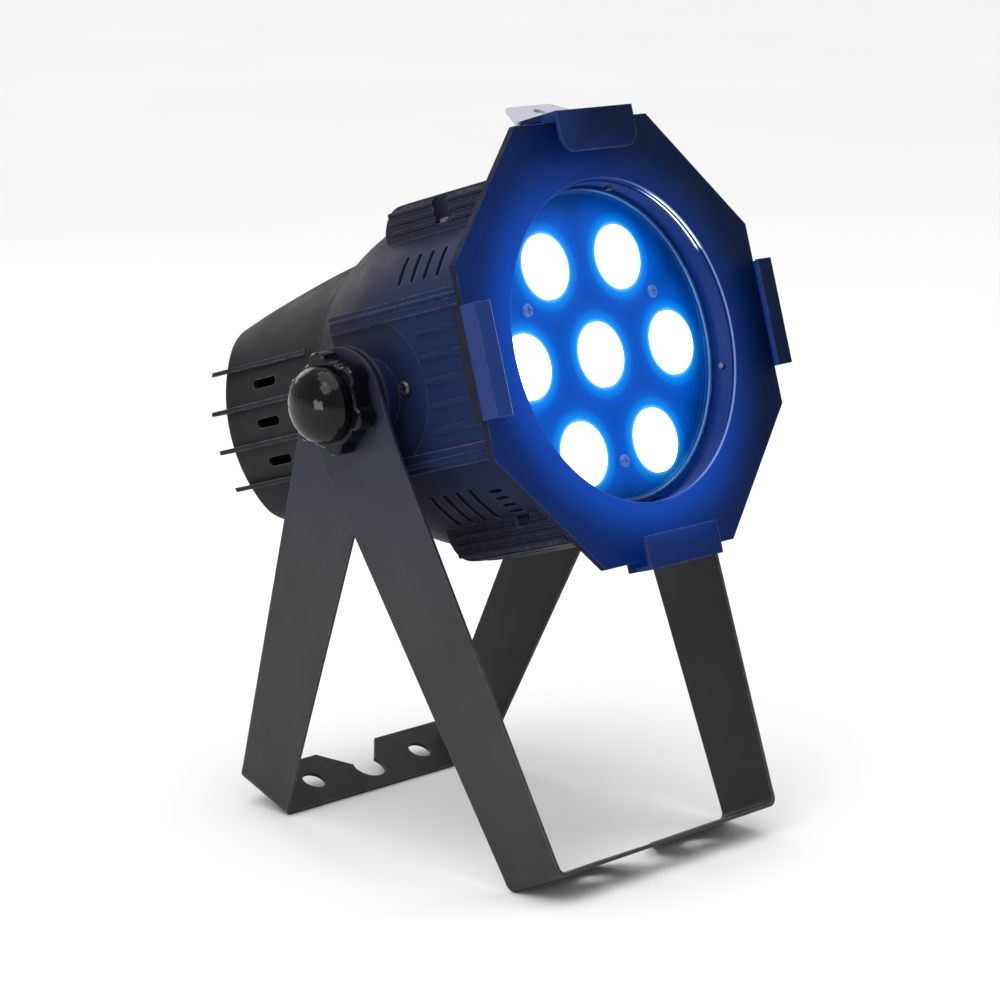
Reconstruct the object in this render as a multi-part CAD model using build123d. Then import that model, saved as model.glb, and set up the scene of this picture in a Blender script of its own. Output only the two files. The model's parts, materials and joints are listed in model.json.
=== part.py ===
from build123d import *
import os
from math import copysign, cos, hypot, pi, radians, sin

# Stage par can light: a round LED head between two U brackets that swing on the same pivot axis.
# Millimetres and degrees. +Z is up, the beam leaves towards -Y, X is the pivot axis.
# Head pieces are drawn level, with the pivot axis as their origin, and tilted at the end.

# ---------------------------------------------------------------- pose and place
TILT = 17.45  # the beam points this far above level
HINGE_Y = -4.92  # places the middle of the whole light over the origin
HINGE_Z = 204.4  # pivot axis above the floor
FRONT_SWING = 26.39  # front bracket, forward of straight down
REAR_SWING = 20.85  # rear bracket, backward of straight down

# ---------------------------------------------------------------- colour frame and its holder
FRAME_ACROSS = 190.0  # across the flats of the eight-sided frame
FRAME_TOP_FLAT = 85.0
FRAME_SIDE_FLAT = 82.0
FRAME_FRONT_Y = -82.6
FRAME_THICK = 3.0
FRAME_LIFT = 2.6  # centre of the frame above the pivot axis
FRAME_OPENING_R = 70.4
FILTER_GAP = 1.2  # pocket inside the frame for the colour filter
FILTER_MARGIN = 6.0
OPTICS_LIFT = 1.5  # optical axis above the pivot axis
HOLDER_THICK = 1.5
HOLDER_BEHIND = 0.2  # gap between the frame and the holder behind it
HOLDER_R = 86.0
SLEEVE_R = 71.7
SLEEVE_INNER_R = 70.6
SLEEVE_REAR_Y = -73.0
CLIP_WIDTH = 48.0
CLIP_SHEET = 1.5
CLIP_DEPTH = 7.0  # channel ahead of the frame's front face
SIDE_LIP = 8.0
BOTTOM_LIP = 13.0
CLIP_FOOT = 12.0  # how far each clip reaches into the holder's ring
SIDE_EDGE = FRAME_ACROSS / 2 + 0.6  # inside of each side clip's web
BOTTOM_EDGE = FRAME_ACROSS / 2 - FRAME_LIFT + 2.6

# ---------------------------------------------------------------- barrel
HOLDER_FRONT_Y = FRAME_FRONT_Y + FRAME_THICK + HOLDER_BEHIND
BARREL_FRONT_Y = HOLDER_FRONT_Y + HOLDER_THICK
COLLAR_REAR_Y = -66.0
COLLAR_R = 80.0
BASE_R = 78.0
BASE_TAPER_Y = 0.0  # the base is straight up to here and then curves in
BARREL_REAR_R = 66.3
BARREL_REAR_Y = 42.5
BARREL_BORE_R = 71.8
BORE_END_R = 63.2
BAND_HALF = 46.0
BAND_CREST = 82.0
BAND_CROWN = 3.6  # fall of the band's top from its middle to its edges
BAND_REAR_Y = 3.0
BAND_SHOULDER = 12.5
RIB_DEPTH = 1.1
RIB_PITCH = 10.4
RIB_WIDTH = 5.4
BEAD_R = 1.1
SIDE_BAND_HALF = 37.0
SIDE_BAND_CREST = 80.0
SIDE_BAND_CROWN = 3.0
SIDE_BAND_REAR_Y = 18.0
SIDE_BAND_SHOULDER = 4.0
SIDE_FLAT_HALF = 29.0
SIDE_FLAT_X = 76.6
SIDE_RIB_PROUD = 1.9
SIDE_RIB_WIDTH = 2.4
SIDE_RIB_END_Y = -35.0
PAD_R = 34.0
PAD_X = 74.6
BOSS_R = 16.0
BOSS_X = 81.5
BOSS_INNER_X = 64.5
UPPER_VENTS = (39.6, 15.5, -42.0)  # angle from level, slot length, first slot's y
LOWER_VENTS = (-45.4, 21.0, -32.0)
VENT_COUNT = 4
VENT_WIDTH = 2.5
VENT_PITCH = 7.85
SHORT_SLOT_LENGTH = 8.0
SHORT_SLOT_WIDTH = 2.4
SHORT_SLOT_PITCH = 3.5
SHORT_SLOT_Y = -45.0
SHORT_SLOT_ANGLE = -47.5
POCKET_X = 44.5
POCKET_Y = -35.0
POCKET_R = 5.2
POCKET_FLOOR = 66.5
HOLDER_SCREW_Y = -75.0
HOLDER_SCREW_ANGLE = 76.0

# ---------------------------------------------------------------- rear housing and panel
SHELL = 2.4
REAR_START_R = 66.0
REAR_START_FLAT = 70.0  # beyond the start radius, so the front section stays round
REAR_END_Y = 108.0
REAR_END_R = 64.6
REAR_FLAT_Z = 46.0
CORNER_POWER = 14.0
OUTLINE_POINTS = 32
SPIGOT_Y = 34.0
FIN_Z = 8.9
FIN_THICK = 2.0
FIN_PROUD = 3.0
FIN_PAST = 5.0
FIN_FRONT_Y = 50.0
SIDE_SLOT_Y = 79.0
SIDE_SLOT_LENGTH = 15.5
SIDE_SLOT_HEIGHT = 4.0
SIDE_SLOT_PITCH = 17.7
PANEL_REAR_Y = 105.6
PANEL_THICK = 2.0
PANEL_MARGIN = 0.25

# ---------------------------------------------------------------- optics and cooling
SHROUD_FRONT_Y = -70.8
SHROUD_R = 67.6
LENS_PLATE_FRONT_Y = -66.4
LENS_PLATE_THICK = 2.0
LENS_LIFT = -2.2  # middle of the lens group above the pivot axis
LENS_RING_R = 47.2
LENS_COUNT = 6
LENS_R = 14.2
LENS_HOLE_R = 14.5
PLATE_SCREW_ANGLES = (30, 150, 270)  # between outer lenses, on their ring
LENS_REAR_R = 6.5
LENS_REAR_Y = -49.0
HOLDER_CUP_R = 15.6
LED_BOARD_FRONT_Y = -45.8
LED_BOARD_THICK = 1.6
LED_BOARD_R = 64.0
SINK_BASE = 6.0
SINK_R = 64.0
SINK_REAR_Y = -13.0
SINK_FIN = 1.8
SINK_PITCH = 7.4
FAN_SIZE = 92.0
FAN_DEPTH = 25.0
FAN_BORE_R = 43.5
FAN_BOLT = 41.25
FAN_HUB_R = 17.0
FAN_BLADE_R = 42.4
FAN_BLADES = 7
FAN_SHAFT_R = 1.5
FAN_TURN_GAP = 0.06

# ---------------------------------------------------------------- brackets
BRACKET_SHEET = 1.6
FRONT_REACH = 220.4
FRONT_HALF_TOP = 93.6
FRONT_HALF_BASE = 73.3
REAR_REACH = 212.7
REAR_HALF_TOP = 89.5
REAR_HALF_BASE = 67.7
ARM_TOP_WIDTH = 46.2
ARM_BASE_WIDTH = 32.0
ARM_STRAIGHT = 26.0  # flat pad of each arm below the pivot
BEND_R = 5.0
BRACKET_HOLE_R = 5.6
BRACKET_HOLE_X = 35.3
NOTCH_R = 8.0
NOTCH_NECK = 6.8
NOTCH_MOUTH = 15.0
PIVOT_HOLE_R = 4.2

# ---------------------------------------------------------------- knobs and pivot hardware
STUD_R = 4.0
STUD_FIT = 0.06
STUD_INNER_X = 60.5
WASHER_THICK = 1.6
WASHER_R = 11.0
SPACER_R = 15.0
KNOB_FLANGE = 9.0
KNOB_LOBE_R = 22.3
KNOB_LOBES = 6
KNOB_CAP_R = 16.6
KNOB_CAP_WALL = 2.4
KNOB_DOME = 10.0
NUT_PLATE_LENGTH = 54.0
NUT_PLATE_HEIGHT = 22.0
NUT_PLATE_THICK = 2.5
NUT_FLATS = 13.0
NUT_DEPTH = 6.5
SIDE_SCREW_Y = 20.5

# ---------------------------------------------------------------- top clip
TOP_CLIP_WIDTH = 49.0
TOP_CLIP_LIP = 18.0
TOP_CLIP_CORNER_R = 8.0
TOP_CLIP_GAP = 2.0  # between the frame's top edge and the clip
TOP_CLIP_RUN = 24.0
TAB_LENGTH = 17.0
TAB_RISE = 33.0
TAB_END_WIDTH = 29.0
TAB_HOLE_R = 3.0
CLIP_PIN_R = 1.5
CLIP_PIN_BACK = 8.0
CLIP_KNUCKLE_R = 2.8

# ---------------------------------------------------------------- rear panel fittings
DISPLAY_Z = 29.0
DISPLAY_WIDTH = 46.0
DISPLAY_HEIGHT = 17.0
BUTTON_Z = 10.5
BUTTON_PITCH = 14.0
BUTTON_R = 3.9
BUTTON_PROUD = 2.4
BUTTON_FLANGE_R = 5.0
SOCKET_Z = -19.0
DMX_IN_X = -38.0
DMX_OUT_X = -10.0
DMX_FLANGE = 26.0
DMX_R = 10.4
DMX_BORE_R = 8.6
DMX_DEPTH = 20.0
DMX_INSERT = 6.0
DMX_PIN_R = 1.2
INLET_X = 28.0
INLET_WIDTH = 31.0
INLET_HEIGHT = 24.0
EYE_X = 44.0
EYE_Z = 18.0

# ---------------------------------------------------------------- boards
BOARD_Z = -26.0  # underside of the power supply board
BOARD_THICK = 1.6
BOARD_TOP = BOARD_Z + BOARD_THICK
DRIVER_BEHIND = 9.0  # from the rear panel to the control board


# ================================================================= helpers
def block(x0, x1, y0, y1, z0, z1):
    """Box between two corners."""
    box = Box(abs(x1 - x0), abs(y1 - y0), abs(z1 - z0))
    return Pos((x0 + x1) / 2, (y0 + y1) / 2, (z0 + z1) / 2) * box


def rod(axis, a, b, radius, u=0.0, v=0.0):
    """Cylinder along an axis, from a to b. u and v are its place on the other two axes."""
    length = abs(b - a)
    middle = (a + b) / 2
    cylinder = Cylinder(radius, length)
    if axis == "x":
        return Pos(middle, u, v) * Rot(0, 90, 0) * cylinder
    if axis == "y":
        return Pos(u, middle, v) * Rot(90, 0, 0) * cylinder
    return Pos(u, v, middle) * cylinder


def ring(axis, a, b, outer, inner, u=0.0, v=0.0):
    """Tube along an axis."""
    return rod(axis, a, b, outer, u, v) - rod(axis, a - 1, b + 1, inner, u, v)


def lathe(points):
    """Solid of revolution about Y from (y, radius) points."""
    outline = [(radius, y) for y, radius in points]
    face = make_face(Polyline(*outline, close=True))
    return revolve(face, Axis.Y, 360)


def prism_y(sketch, front, rear):
    """Sketch of X and Z, made solid from y = front to y = rear."""
    return extrude(Plane.XZ.offset(-rear) * sketch, amount=rear - front)


def prism_x(sketch, low, high):
    """Sketch of Y and Z, made solid from x = low to x = high."""
    return extrude(Plane.YZ.offset(low) * sketch, amount=high - low)


def around(shape, angle, x=0.0, z=0.0):
    """Turn a piece about a line along Y."""
    return Pos(x, 0, z) * Rot(0, angle, 0) * Pos(-x, 0, -z) * shape


def mirrored(shape):
    """The same piece on the other side of the light."""
    return mirror(shape, about=Plane.YZ)


def both_sides(shape):
    """A piece and its mirror image, as separate solids."""
    return Compound(children=[shape, mirrored(shape)])


def group(shapes):
    """Separate solids that share one node."""
    return Compound(children=list(shapes))


def on_lens_ring(angle):
    """Place on the ring of outer lenses, as (x, z); the angle is in degrees up from +X."""
    turn = radians(angle)
    return LENS_RING_R * cos(turn), LENS_LIFT + LENS_RING_R * sin(turn)


def lens_places():
    """Centre and ring of the seven light sources, as (x, z)."""
    return [(0.0, LENS_LIFT)] + [on_lens_ring(360 * index / LENS_COUNT) for index in range(LENS_COUNT)]


def octagon(shrink=0.0):
    """Outline of the colour frame, in X and Z."""
    half = FRAME_ACROSS / 2 - shrink
    top = FRAME_TOP_FLAT / 2 - shrink * 0.41
    side = FRAME_SIDE_FLAT / 2 - shrink * 0.41
    corners = [(top, half), (half, side), (half, -side), (top, -half)]
    corners += [(-x, z) for x, z in reversed(corners)]
    return Pos(0, FRAME_LIFT) * make_face(Polyline(*corners, close=True))


# ================================================================= head: shells
def base_profile():
    """(y, radius) points of the round body behind the collar: straight, then curving in to the rear rim."""
    points = [(COLLAR_REAR_Y + 1.2, BASE_R)]
    steps = 9
    for step in range(steps + 1):
        share = step / steps
        y = BASE_TAPER_Y + share * (BARREL_REAR_Y - 1.0 - BASE_TAPER_Y)
        points.append((y, BARREL_REAR_R + (BASE_R - BARREL_REAR_R) * cos(radians(90 * share))))
    return points


def crowned_block(crest, half, rear, crown=BAND_CROWN, shoulder=BAND_SHOULDER):
    """Long raised pad with a crowned top, rounded down at its rear end."""
    edge = crest - crown
    arc = ThreePointArc((-half, edge), (0, crest), (half, edge))
    walls = Polyline((half, edge), (half, 45), (-half, 45), (-half, edge))
    pad = prism_y(make_face([arc, walls]), COLLAR_REAR_Y - 1, rear)
    corner = pad.edges().group_by(Axis.Y)[-1].group_by(Axis.Z)[-1]
    return fillet(corner, shoulder)


def top_band():
    """Ribbed band over the top; turned half round it is the bottom one too."""
    band = crowned_block(BAND_CREST - RIB_DEPTH, BAND_HALF, BAND_REAR_Y - RIB_DEPTH)
    crest = crowned_block(BAND_CREST, BAND_HALF, BAND_REAR_Y)
    for index in range(-4, 5):
        middle = index * RIB_PITCH
        lane = block(middle - RIB_WIDTH / 2, middle + RIB_WIDTH / 2, -80, 40, 40, 100)
        band += crest & lane
    for z in (67.0, 71.2, 75.4):
        for x in (-BAND_HALF, BAND_HALF):
            band += rod("y", COLLAR_REAR_Y - 1, BAND_REAR_Y - BAND_SHOULDER / 2, BEAD_R, x, z)
    return band


def side_band():
    """Crowned block of the +X side band, with a bead along each of its ledges."""
    turned = crowned_block(SIDE_BAND_CREST, SIDE_BAND_HALF, SIDE_BAND_REAR_Y, SIDE_BAND_CROWN, SIDE_BAND_SHOULDER)
    band = Rot(0, 90, 0) * turned
    z = SIDE_BAND_HALF - 3.4
    x = SIDE_BAND_CREST - SIDE_BAND_CROWN * (z / SIDE_BAND_HALF) ** 2
    for level in (-z, z):
        band += rod("y", COLLAR_REAR_Y - 1, SIDE_BAND_REAR_Y - SIDE_BAND_SHOULDER, BEAD_R, x, level)
    return band


def side_recess():
    """What is taken off the +X side: the long flat and the round pad behind it."""
    flat = block(SIDE_FLAT_X, 101, COLLAR_REAR_Y, 40, -SIDE_FLAT_HALF, SIDE_FLAT_HALF)
    limits = block(50, 101, -40, 40, -SIDE_FLAT_HALF, SIDE_FLAT_HALF)
    return flat + (rod("x", PAD_X, 100, PAD_R) & limits)


def side_ribs():
    """Rounded ribs along the +X flat, ending before the pad, each a solid."""
    ribs = []
    for index in range(-2, 3):
        low = index * RIB_PITCH - SIDE_RIB_WIDTH / 2
        top = SIDE_FLAT_X + SIDE_RIB_PROUD
        rib = block(SIDE_FLAT_X - 1, top, COLLAR_REAR_Y - 1, SIDE_RIB_END_Y, low, low + SIDE_RIB_WIDTH)
        ribs.append(fillet(rib.edges().group_by(Axis.X)[-1], SIDE_RIB_WIDTH * 0.35))
    return ribs


def long_slot(length, width, angle, y, across=True):
    """Rounded slot cut radially through the barrel wall, at an angle up from +X."""
    if across:
        outline = SlotOverall(length, width, rotation=90)
    else:
        outline = SlotOverall(length, width)
    cutter = prism_x(outline, 60, 100)
    return around(Pos(0, y, 0) * cutter, -angle)


def barrel_vents():
    """Cooling slots on the four diagonals, and the short ones ahead of the lower ones."""
    cuts = []
    for angle, length, first_y in (UPPER_VENTS, LOWER_VENTS):
        for index in range(VENT_COUNT):
            cuts.append(long_slot(length, VENT_WIDTH, angle, first_y + index * VENT_PITCH))
    for index in range(-2, 3):
        angle = SHORT_SLOT_ANGLE + index * SHORT_SLOT_PITCH
        cuts.append(long_slot(SHORT_SLOT_LENGTH, SHORT_SLOT_WIDTH, angle, SHORT_SLOT_Y, across=False))
    return cuts + [mirrored(cut) for cut in cuts]


def holder_screw_angles():
    """Four radial screws round the mouth."""
    return [HOLDER_SCREW_ANGLE + 90 * index for index in range(4)]


def barrel_housing():
    """Cast front shell: collar, tapered base, four ribbed bands, pivot bosses."""
    rim = [(BARREL_REAR_Y, BARREL_REAR_R - 1.0), (BARREL_REAR_Y, 0)]
    collar = [
        (BARREL_FRONT_Y, 0),
        (BARREL_FRONT_Y, COLLAR_R - 1),
        (BARREL_FRONT_Y + 1, COLLAR_R),
        (COLLAR_REAR_Y, COLLAR_R),
    ]
    outer = lathe(collar + base_profile() + rim)
    band = top_band()
    outer += band
    outer += Rot(0, 180, 0) * band
    for x, z in pocket_screw_places():
        outer -= rod("z", z, 90, POCKET_R, x, POCKET_Y)
    for piece in (side_band(), mirrored(side_band())):
        outer += piece
    outer -= both_sides(side_recess())
    for piece in side_ribs() + [rod("x", 70, BOSS_X, BOSS_R)]:
        outer += piece
        outer += mirrored(piece)
    bore = lathe(
        [
            (BARREL_FRONT_Y - 1, 0),
            (BARREL_FRONT_Y - 1, BARREL_BORE_R),
            (BASE_TAPER_Y + 6, BARREL_BORE_R),
            (BARREL_REAR_Y - 10, BORE_END_R),
            (BARREL_REAR_Y + 1, BORE_END_R),
            (BARREL_REAR_Y + 1, 0),
        ]
    )
    boss = rod("x", BOSS_INNER_X, 90, BOSS_R)
    seat = block(BOSS_INNER_X, 73, -30, 30, -13, 13)
    bore -= both_sides(boss)
    bore -= both_sides(seat)
    shell = outer - bore
    shell -= rod("x", -100, 100, STUD_R + STUD_FIT)
    for side_y in (-SIDE_SCREW_Y, SIDE_SCREW_Y):
        shell -= rod("x", -100, 100, 1.5, side_y)
    for angle in holder_screw_angles():
        shell -= around(rod("x", 60, 100, 1.5, HOLDER_SCREW_Y), -angle)
    for x, z in pocket_screw_places():
        shell -= rod("z", z - 8, z + 8, 1.3, x, POCKET_Y)
    for cut in barrel_vents():
        shell -= cut
    return shell


def pocket_screw_places():
    """Screws at the floors of the two pockets in the top band, as (x, z)."""
    return [(x, POCKET_FLOOR) for x in (-POCKET_X, POCKET_X)]


def pocket_screws():
    """Screw at the bottom of each pocket, heads outwards."""
    upright = Rot(-90, 0, 0) * screw(7, 1.3, 2.9, 2.0)
    return group([Pos(x, POCKET_Y, z) * upright for x, z in pocket_screw_places()])


def holder_screws():
    """Radial screws that hold the frame holder in the barrel's mouth."""
    one = Rot(0, 0, 90) * screw(COLLAR_R - SLEEVE_INNER_R + 1.6, 1.45, 2.8, 2.0)
    placed = Pos(COLLAR_R, HOLDER_SCREW_Y, 0) * one
    return group([around(placed, -angle) for angle in holder_screw_angles()])


def rear_outline(y):
    """Section of the rear housing at y: round at its front, flattened top and bottom at its back."""
    share = (y - BARREL_REAR_Y) / (REAR_END_Y - BARREL_REAR_Y)
    radius = REAR_START_R + share * (REAR_END_R - REAR_START_R)
    flat = REAR_START_FLAT + share * (REAR_FLAT_Z - REAR_START_FLAT)
    return radius, flat


def rear_section(y, inset):
    """Closed outline of the rear housing at y, drawn inset from its outside."""
    radius, flat = rear_outline(y)
    radius -= inset
    flat -= inset
    points = []
    for index in range(OUTLINE_POINTS):
        turn = 2 * pi * (index + 0.5) / OUTLINE_POINTS
        level = (abs(sin(turn)) * radius / flat) ** CORNER_POWER
        reach = radius / (1 + level) ** (1 / CORNER_POWER)
        points.append((reach * cos(turn), reach * sin(turn)))
    outline = make_face(Spline(*points, periodic=True))
    return Plane.XZ.offset(-y) * outline


def rear_loft(front, rear, inset):
    """Smooth solid through the housing's sections."""
    stations = [front + (rear - front) * step / 3 for step in range(4)]
    return loft([rear_section(y, inset) for y in stations])


def rear_housing():
    """Rear shell with its side fins, slots, spigot and the seat of the rear panel."""
    outer = rear_loft(BARREL_REAR_Y, REAR_END_Y, 0)
    outer = fillet(outer.edges().group_by(Axis.Y)[-1], 3.0)
    fin_r = REAR_END_R + FIN_PROUD
    for index in (-3, -1, 1, 3):
        middle = index * FIN_Z
        slab = block(-90, 90, FIN_FRONT_Y, REAR_END_Y + FIN_PAST, middle - FIN_THICK / 2, middle + FIN_THICK / 2)
        slab &= rod("y", FIN_FRONT_Y, REAR_END_Y + FIN_PAST, fin_r)
        slab -= block(-60, 60, 0, 130, -60, 60)
        outer += slab
    hollow = rear_loft(BARREL_REAR_Y - 1, REAR_END_Y + 1, SHELL)
    shell = outer - hollow
    for index in (-1, 0, 1):
        z = index * SIDE_SLOT_PITCH
        slot = prism_x(Pos(SIDE_SLOT_Y, z) * SlotOverall(SIDE_SLOT_LENGTH, SIDE_SLOT_HEIGHT), 50, 90)
        shell -= both_sides(slot)
    shell += ring("y", SPIGOT_Y, BARREL_REAR_Y + 3, BORE_END_R - 0.2, BORE_END_R - 2.4)
    shell += ring("y", BARREL_REAR_Y, BARREL_REAR_Y + 3, REAR_START_R - 1.0, BORE_END_R - 1.0)
    for x, z in rear_screw_places():
        front = PANEL_REAR_Y - PANEL_THICK - 12
        rear = PANEL_REAR_Y - PANEL_THICK
        post = rod("y", front, rear, 4.0, x, z)
        post += block(x - 1.2, x + 1.2, front, rear, z, copysign(REAR_FLAT_Z - 1.0, z))
        shell += post - rod("y", 80, 110, 1.25, x, z)
    return shell


def rear_screw_places():
    """Corners of the rear panel, as (x, z)."""
    return [(x, z) for x in (-41.0, 41.0) for z in (-38.5, 38.5)]


def rear_panel():
    """Flat plate with the cut-outs for display, buttons and sockets."""
    blank = rear_section(PANEL_REAR_Y, SHELL + PANEL_MARGIN)
    plate = extrude(blank, amount=PANEL_THICK)
    plate = Pos(0, PANEL_REAR_Y - plate.bounding_box().max.Y, 0) * plate
    cut = block(-DISPLAY_WIDTH / 2, DISPLAY_WIDTH / 2, 90, 120, DISPLAY_Z - DISPLAY_HEIGHT / 2,
                DISPLAY_Z + DISPLAY_HEIGHT / 2)
    plate -= cut
    for x in button_places():
        plate -= rod("y", 90, 120, BUTTON_R + 0.3, x, BUTTON_Z)
    plate -= rod("y", 90, 120, DMX_R + 0.2, DMX_IN_X, SOCKET_Z)
    plate -= rod("y", 90, 120, DMX_R + 0.2, DMX_OUT_X, SOCKET_Z)
    plate -= block(INLET_X - 13.7, INLET_X + 13.7, 90, 120, SOCKET_Z - 10.2, SOCKET_Z + 10.2)
    for x, z in rear_screw_places():
        plate -= rod("y", 90, 120, 1.7, x, z)
    for z in (EYE_Z - 8, EYE_Z + 8):
        plate -= rod("y", 90, 120, 2.1, EYE_X, z)
    return plate


# ================================================================= head: front
def colour_frame():
    """Folded eight-sided frame, open at its top edge for the colour filter."""
    rear = FRAME_FRONT_Y + FRAME_THICK
    plate = prism_y(octagon(), FRAME_FRONT_Y, rear)
    hole = rod("y", FRAME_FRONT_Y - 1, rear + 1, FRAME_OPENING_R, 0, OPTICS_LIFT)
    middle = (FRAME_FRONT_Y + rear) / 2
    pocket = prism_y(octagon(FILTER_MARGIN), middle - FILTER_GAP / 2, middle + FILTER_GAP / 2)
    throat = block(-FRAME_TOP_FLAT / 2 + 4, FRAME_TOP_FLAT / 2 - 4, middle - FILTER_GAP / 2,
                   middle + FILTER_GAP / 2, 60, FRAME_ACROSS)
    return plate - hole - pocket - throat


def clip_foot(edge):
    """Foot of a channel clip, let into the holder's ring."""
    half = CLIP_WIDTH / 2
    return block(-half, half, HOLDER_FRONT_Y, BARREL_FRONT_Y, -edge - CLIP_SHEET, -HOLDER_R + CLIP_FOOT)


def channel_clip(edge, lip):
    """Bent strip that holds one edge of the frame; drawn under the frame, opening upwards."""
    half = CLIP_WIDTH / 2
    front = FRAME_FRONT_Y - CLIP_DEPTH - CLIP_SHEET
    web = block(-half, half, front, BARREL_FRONT_Y, -edge - CLIP_SHEET, -edge)
    face = block(-half, half, front, front + CLIP_SHEET, -edge - CLIP_SHEET, -edge + lip)
    return clip_foot(edge) + web + face


def three_clips(draw_bottom, draw_side):
    """Shapes at the frame's bottom and side edges, from one drawn under the frame for each."""
    side = Pos(0, 0, FRAME_LIFT) * Rot(0, 90, 0) * draw_side
    return [draw_bottom, side, mirrored(side)]


def channel_clips():
    """The three fixed clips that the frame slides into."""
    return group(three_clips(channel_clip(BOTTOM_EDGE, BOTTOM_LIP), channel_clip(SIDE_EDGE, SIDE_LIP)))


def frame_holder():
    """Ring on the barrel's mouth, notched for the channel clips, with the ears of the top clip."""
    back = HOLDER_FRONT_Y
    plate = ring("y", back, back + HOLDER_THICK, HOLDER_R, SLEEVE_INNER_R)
    plate += ring("y", back, SLEEVE_REAR_Y, SLEEVE_R, SLEEVE_INNER_R)
    for angle in holder_screw_angles():
        plate -= around(rod("x", 60, 100, 1.5, HOLDER_SCREW_Y), -angle)
    holder = plate
    for foot in three_clips(clip_foot(BOTTOM_EDGE), clip_foot(SIDE_EDGE)):
        holder -= foot
    pin_y, pin_z = clip_pin_place()
    for x in (-TOP_CLIP_WIDTH / 2 + 2.2, TOP_CLIP_WIDTH / 2 - 3.7):
        ear = block(x, x + CLIP_SHEET, back, pin_y + 3, HOLDER_R - 6, pin_z + 1)
        ear += rod("x", x, x + CLIP_SHEET, CLIP_KNUCKLE_R - 0.2, pin_y, pin_z)
        foot = block(x - 2, x + CLIP_SHEET + 2, back, back + HOLDER_THICK, HOLDER_R - 14, pin_z - 4)
        holder += ear + foot
    for x in (-TOP_CLIP_WIDTH / 2 + 2.2, TOP_CLIP_WIDTH / 2 - 3.7):
        holder -= rod("x", x - 1, x + CLIP_SHEET + 1, CLIP_PIN_R + 0.02, pin_y, pin_z)
    return holder


def light_shroud():
    """Plain ring between the mouth and the lens plate."""
    edge = BARREL_BORE_R - OPTICS_LIFT - 0.2
    profile = [
        (SHROUD_FRONT_Y, SHROUD_R + 0.5),
        (SHROUD_FRONT_Y, edge),
        (LENS_PLATE_FRONT_Y, edge),
        (LENS_PLATE_FRONT_Y, SHROUD_R - 0.8),
        (SHROUD_FRONT_Y + 2.2, SHROUD_R - 0.8),
        (SHROUD_FRONT_Y + 1.2, SHROUD_R),
    ]
    return Pos(0, 0, OPTICS_LIFT) * lathe(profile)


def lens_plate():
    """Plate that frames the seven lenses."""
    rear = LENS_PLATE_FRONT_Y + LENS_PLATE_THICK
    plate = rod("y", LENS_PLATE_FRONT_Y, rear, BARREL_BORE_R - OPTICS_LIFT - 0.2, 0, OPTICS_LIFT)
    for x, z in lens_places():
        plate -= rod("y", LENS_PLATE_FRONT_Y - 1, rear + 1, LENS_HOLE_R, x, z)
    for x, z in plate_screw_places():
        plate -= rod("y", LENS_PLATE_FRONT_Y - 1, rear + 1, 1.6, x, z)
    return plate


def plate_screw_places():
    """Three screws between the outer lenses, as (x, z)."""
    return [on_lens_ring(angle) for angle in PLATE_SCREW_ANGLES]


def lens_optic():
    """One collimator lens: low crown, flange, cone and the recess for its light source."""
    front = LENS_PLATE_FRONT_Y
    points = [
        (front - 1.3, 0),
        (front - 1.2, LENS_R * 0.4),
        (front - 0.9, LENS_R * 0.75),
        (front - 0.3, LENS_R),
        (front + 2.2, LENS_R),
        (LENS_REAR_Y, LENS_REAR_R),
        (LENS_REAR_Y, 4.2),
        (LENS_REAR_Y - 4, 3.6),
        (LENS_REAR_Y - 4, 0),
    ]
    return lathe(points)


def lens_holder():
    """Cup that carries one lens over its light source."""
    front = LENS_PLATE_FRONT_Y + LENS_PLATE_THICK + 0.05
    foot = LED_BOARD_FRONT_Y - 0.05
    points = [
        (front, LENS_R + 0.15),
        (front, HOLDER_CUP_R),
        (foot, HOLDER_CUP_R - 4),
        (foot, 5.2),
        (LENS_REAR_Y + 0.6, 5.2),
        (LENS_REAR_Y + 0.6, LENS_REAR_R + 0.6),
        (front + 0.3, LENS_R + 0.15),
    ]
    return lathe(points)


def led_emitter():
    """One light source: ceramic base with its dome."""
    base = block(-2.6, 2.6, LED_BOARD_FRONT_Y - 1.0, LED_BOARD_FRONT_Y, -2.6, 2.6)
    dome = Pos(0, LED_BOARD_FRONT_Y - 1.0, 0) * Sphere(2.2)
    dome &= block(-3, 3, LED_BOARD_FRONT_Y - 4, LED_BOARD_FRONT_Y - 1.0, -3, 3)
    return base + dome


def seven(shape):
    """A piece at each of the seven light sources."""
    return group([Pos(x, 0, z) * shape for x, z in lens_places()])


def fan_bolts():
    """Corners of the fan, as (x, z)."""
    return [(x, z) for x in (-FAN_BOLT, FAN_BOLT) for z in (-FAN_BOLT, FAN_BOLT)]


def heat_sink():
    """Round base with upright fins and four posts for the fan."""
    front = LED_BOARD_FRONT_Y + LED_BOARD_THICK
    base = rod("y", front, front + SINK_BASE, SINK_R)
    fins = None
    for index in range(-8, 9):
        x = index * SINK_PITCH
        fin = block(x - SINK_FIN / 2, x + SINK_FIN / 2, front + SINK_BASE - 0.5, SINK_REAR_Y, -70, 70)
        fins = fin if fins is None else fins + fin
    sink = base + (fins & rod("y", front, SINK_REAR_Y, SINK_R))
    for x, z in fan_bolts():
        sink += rod("y", front + 1, SINK_REAR_Y, 4.5, x, z)
        sink -= rod("y", SINK_REAR_Y - 14, SINK_REAR_Y + 1, 1.7, x, z)
    return sink


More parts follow.
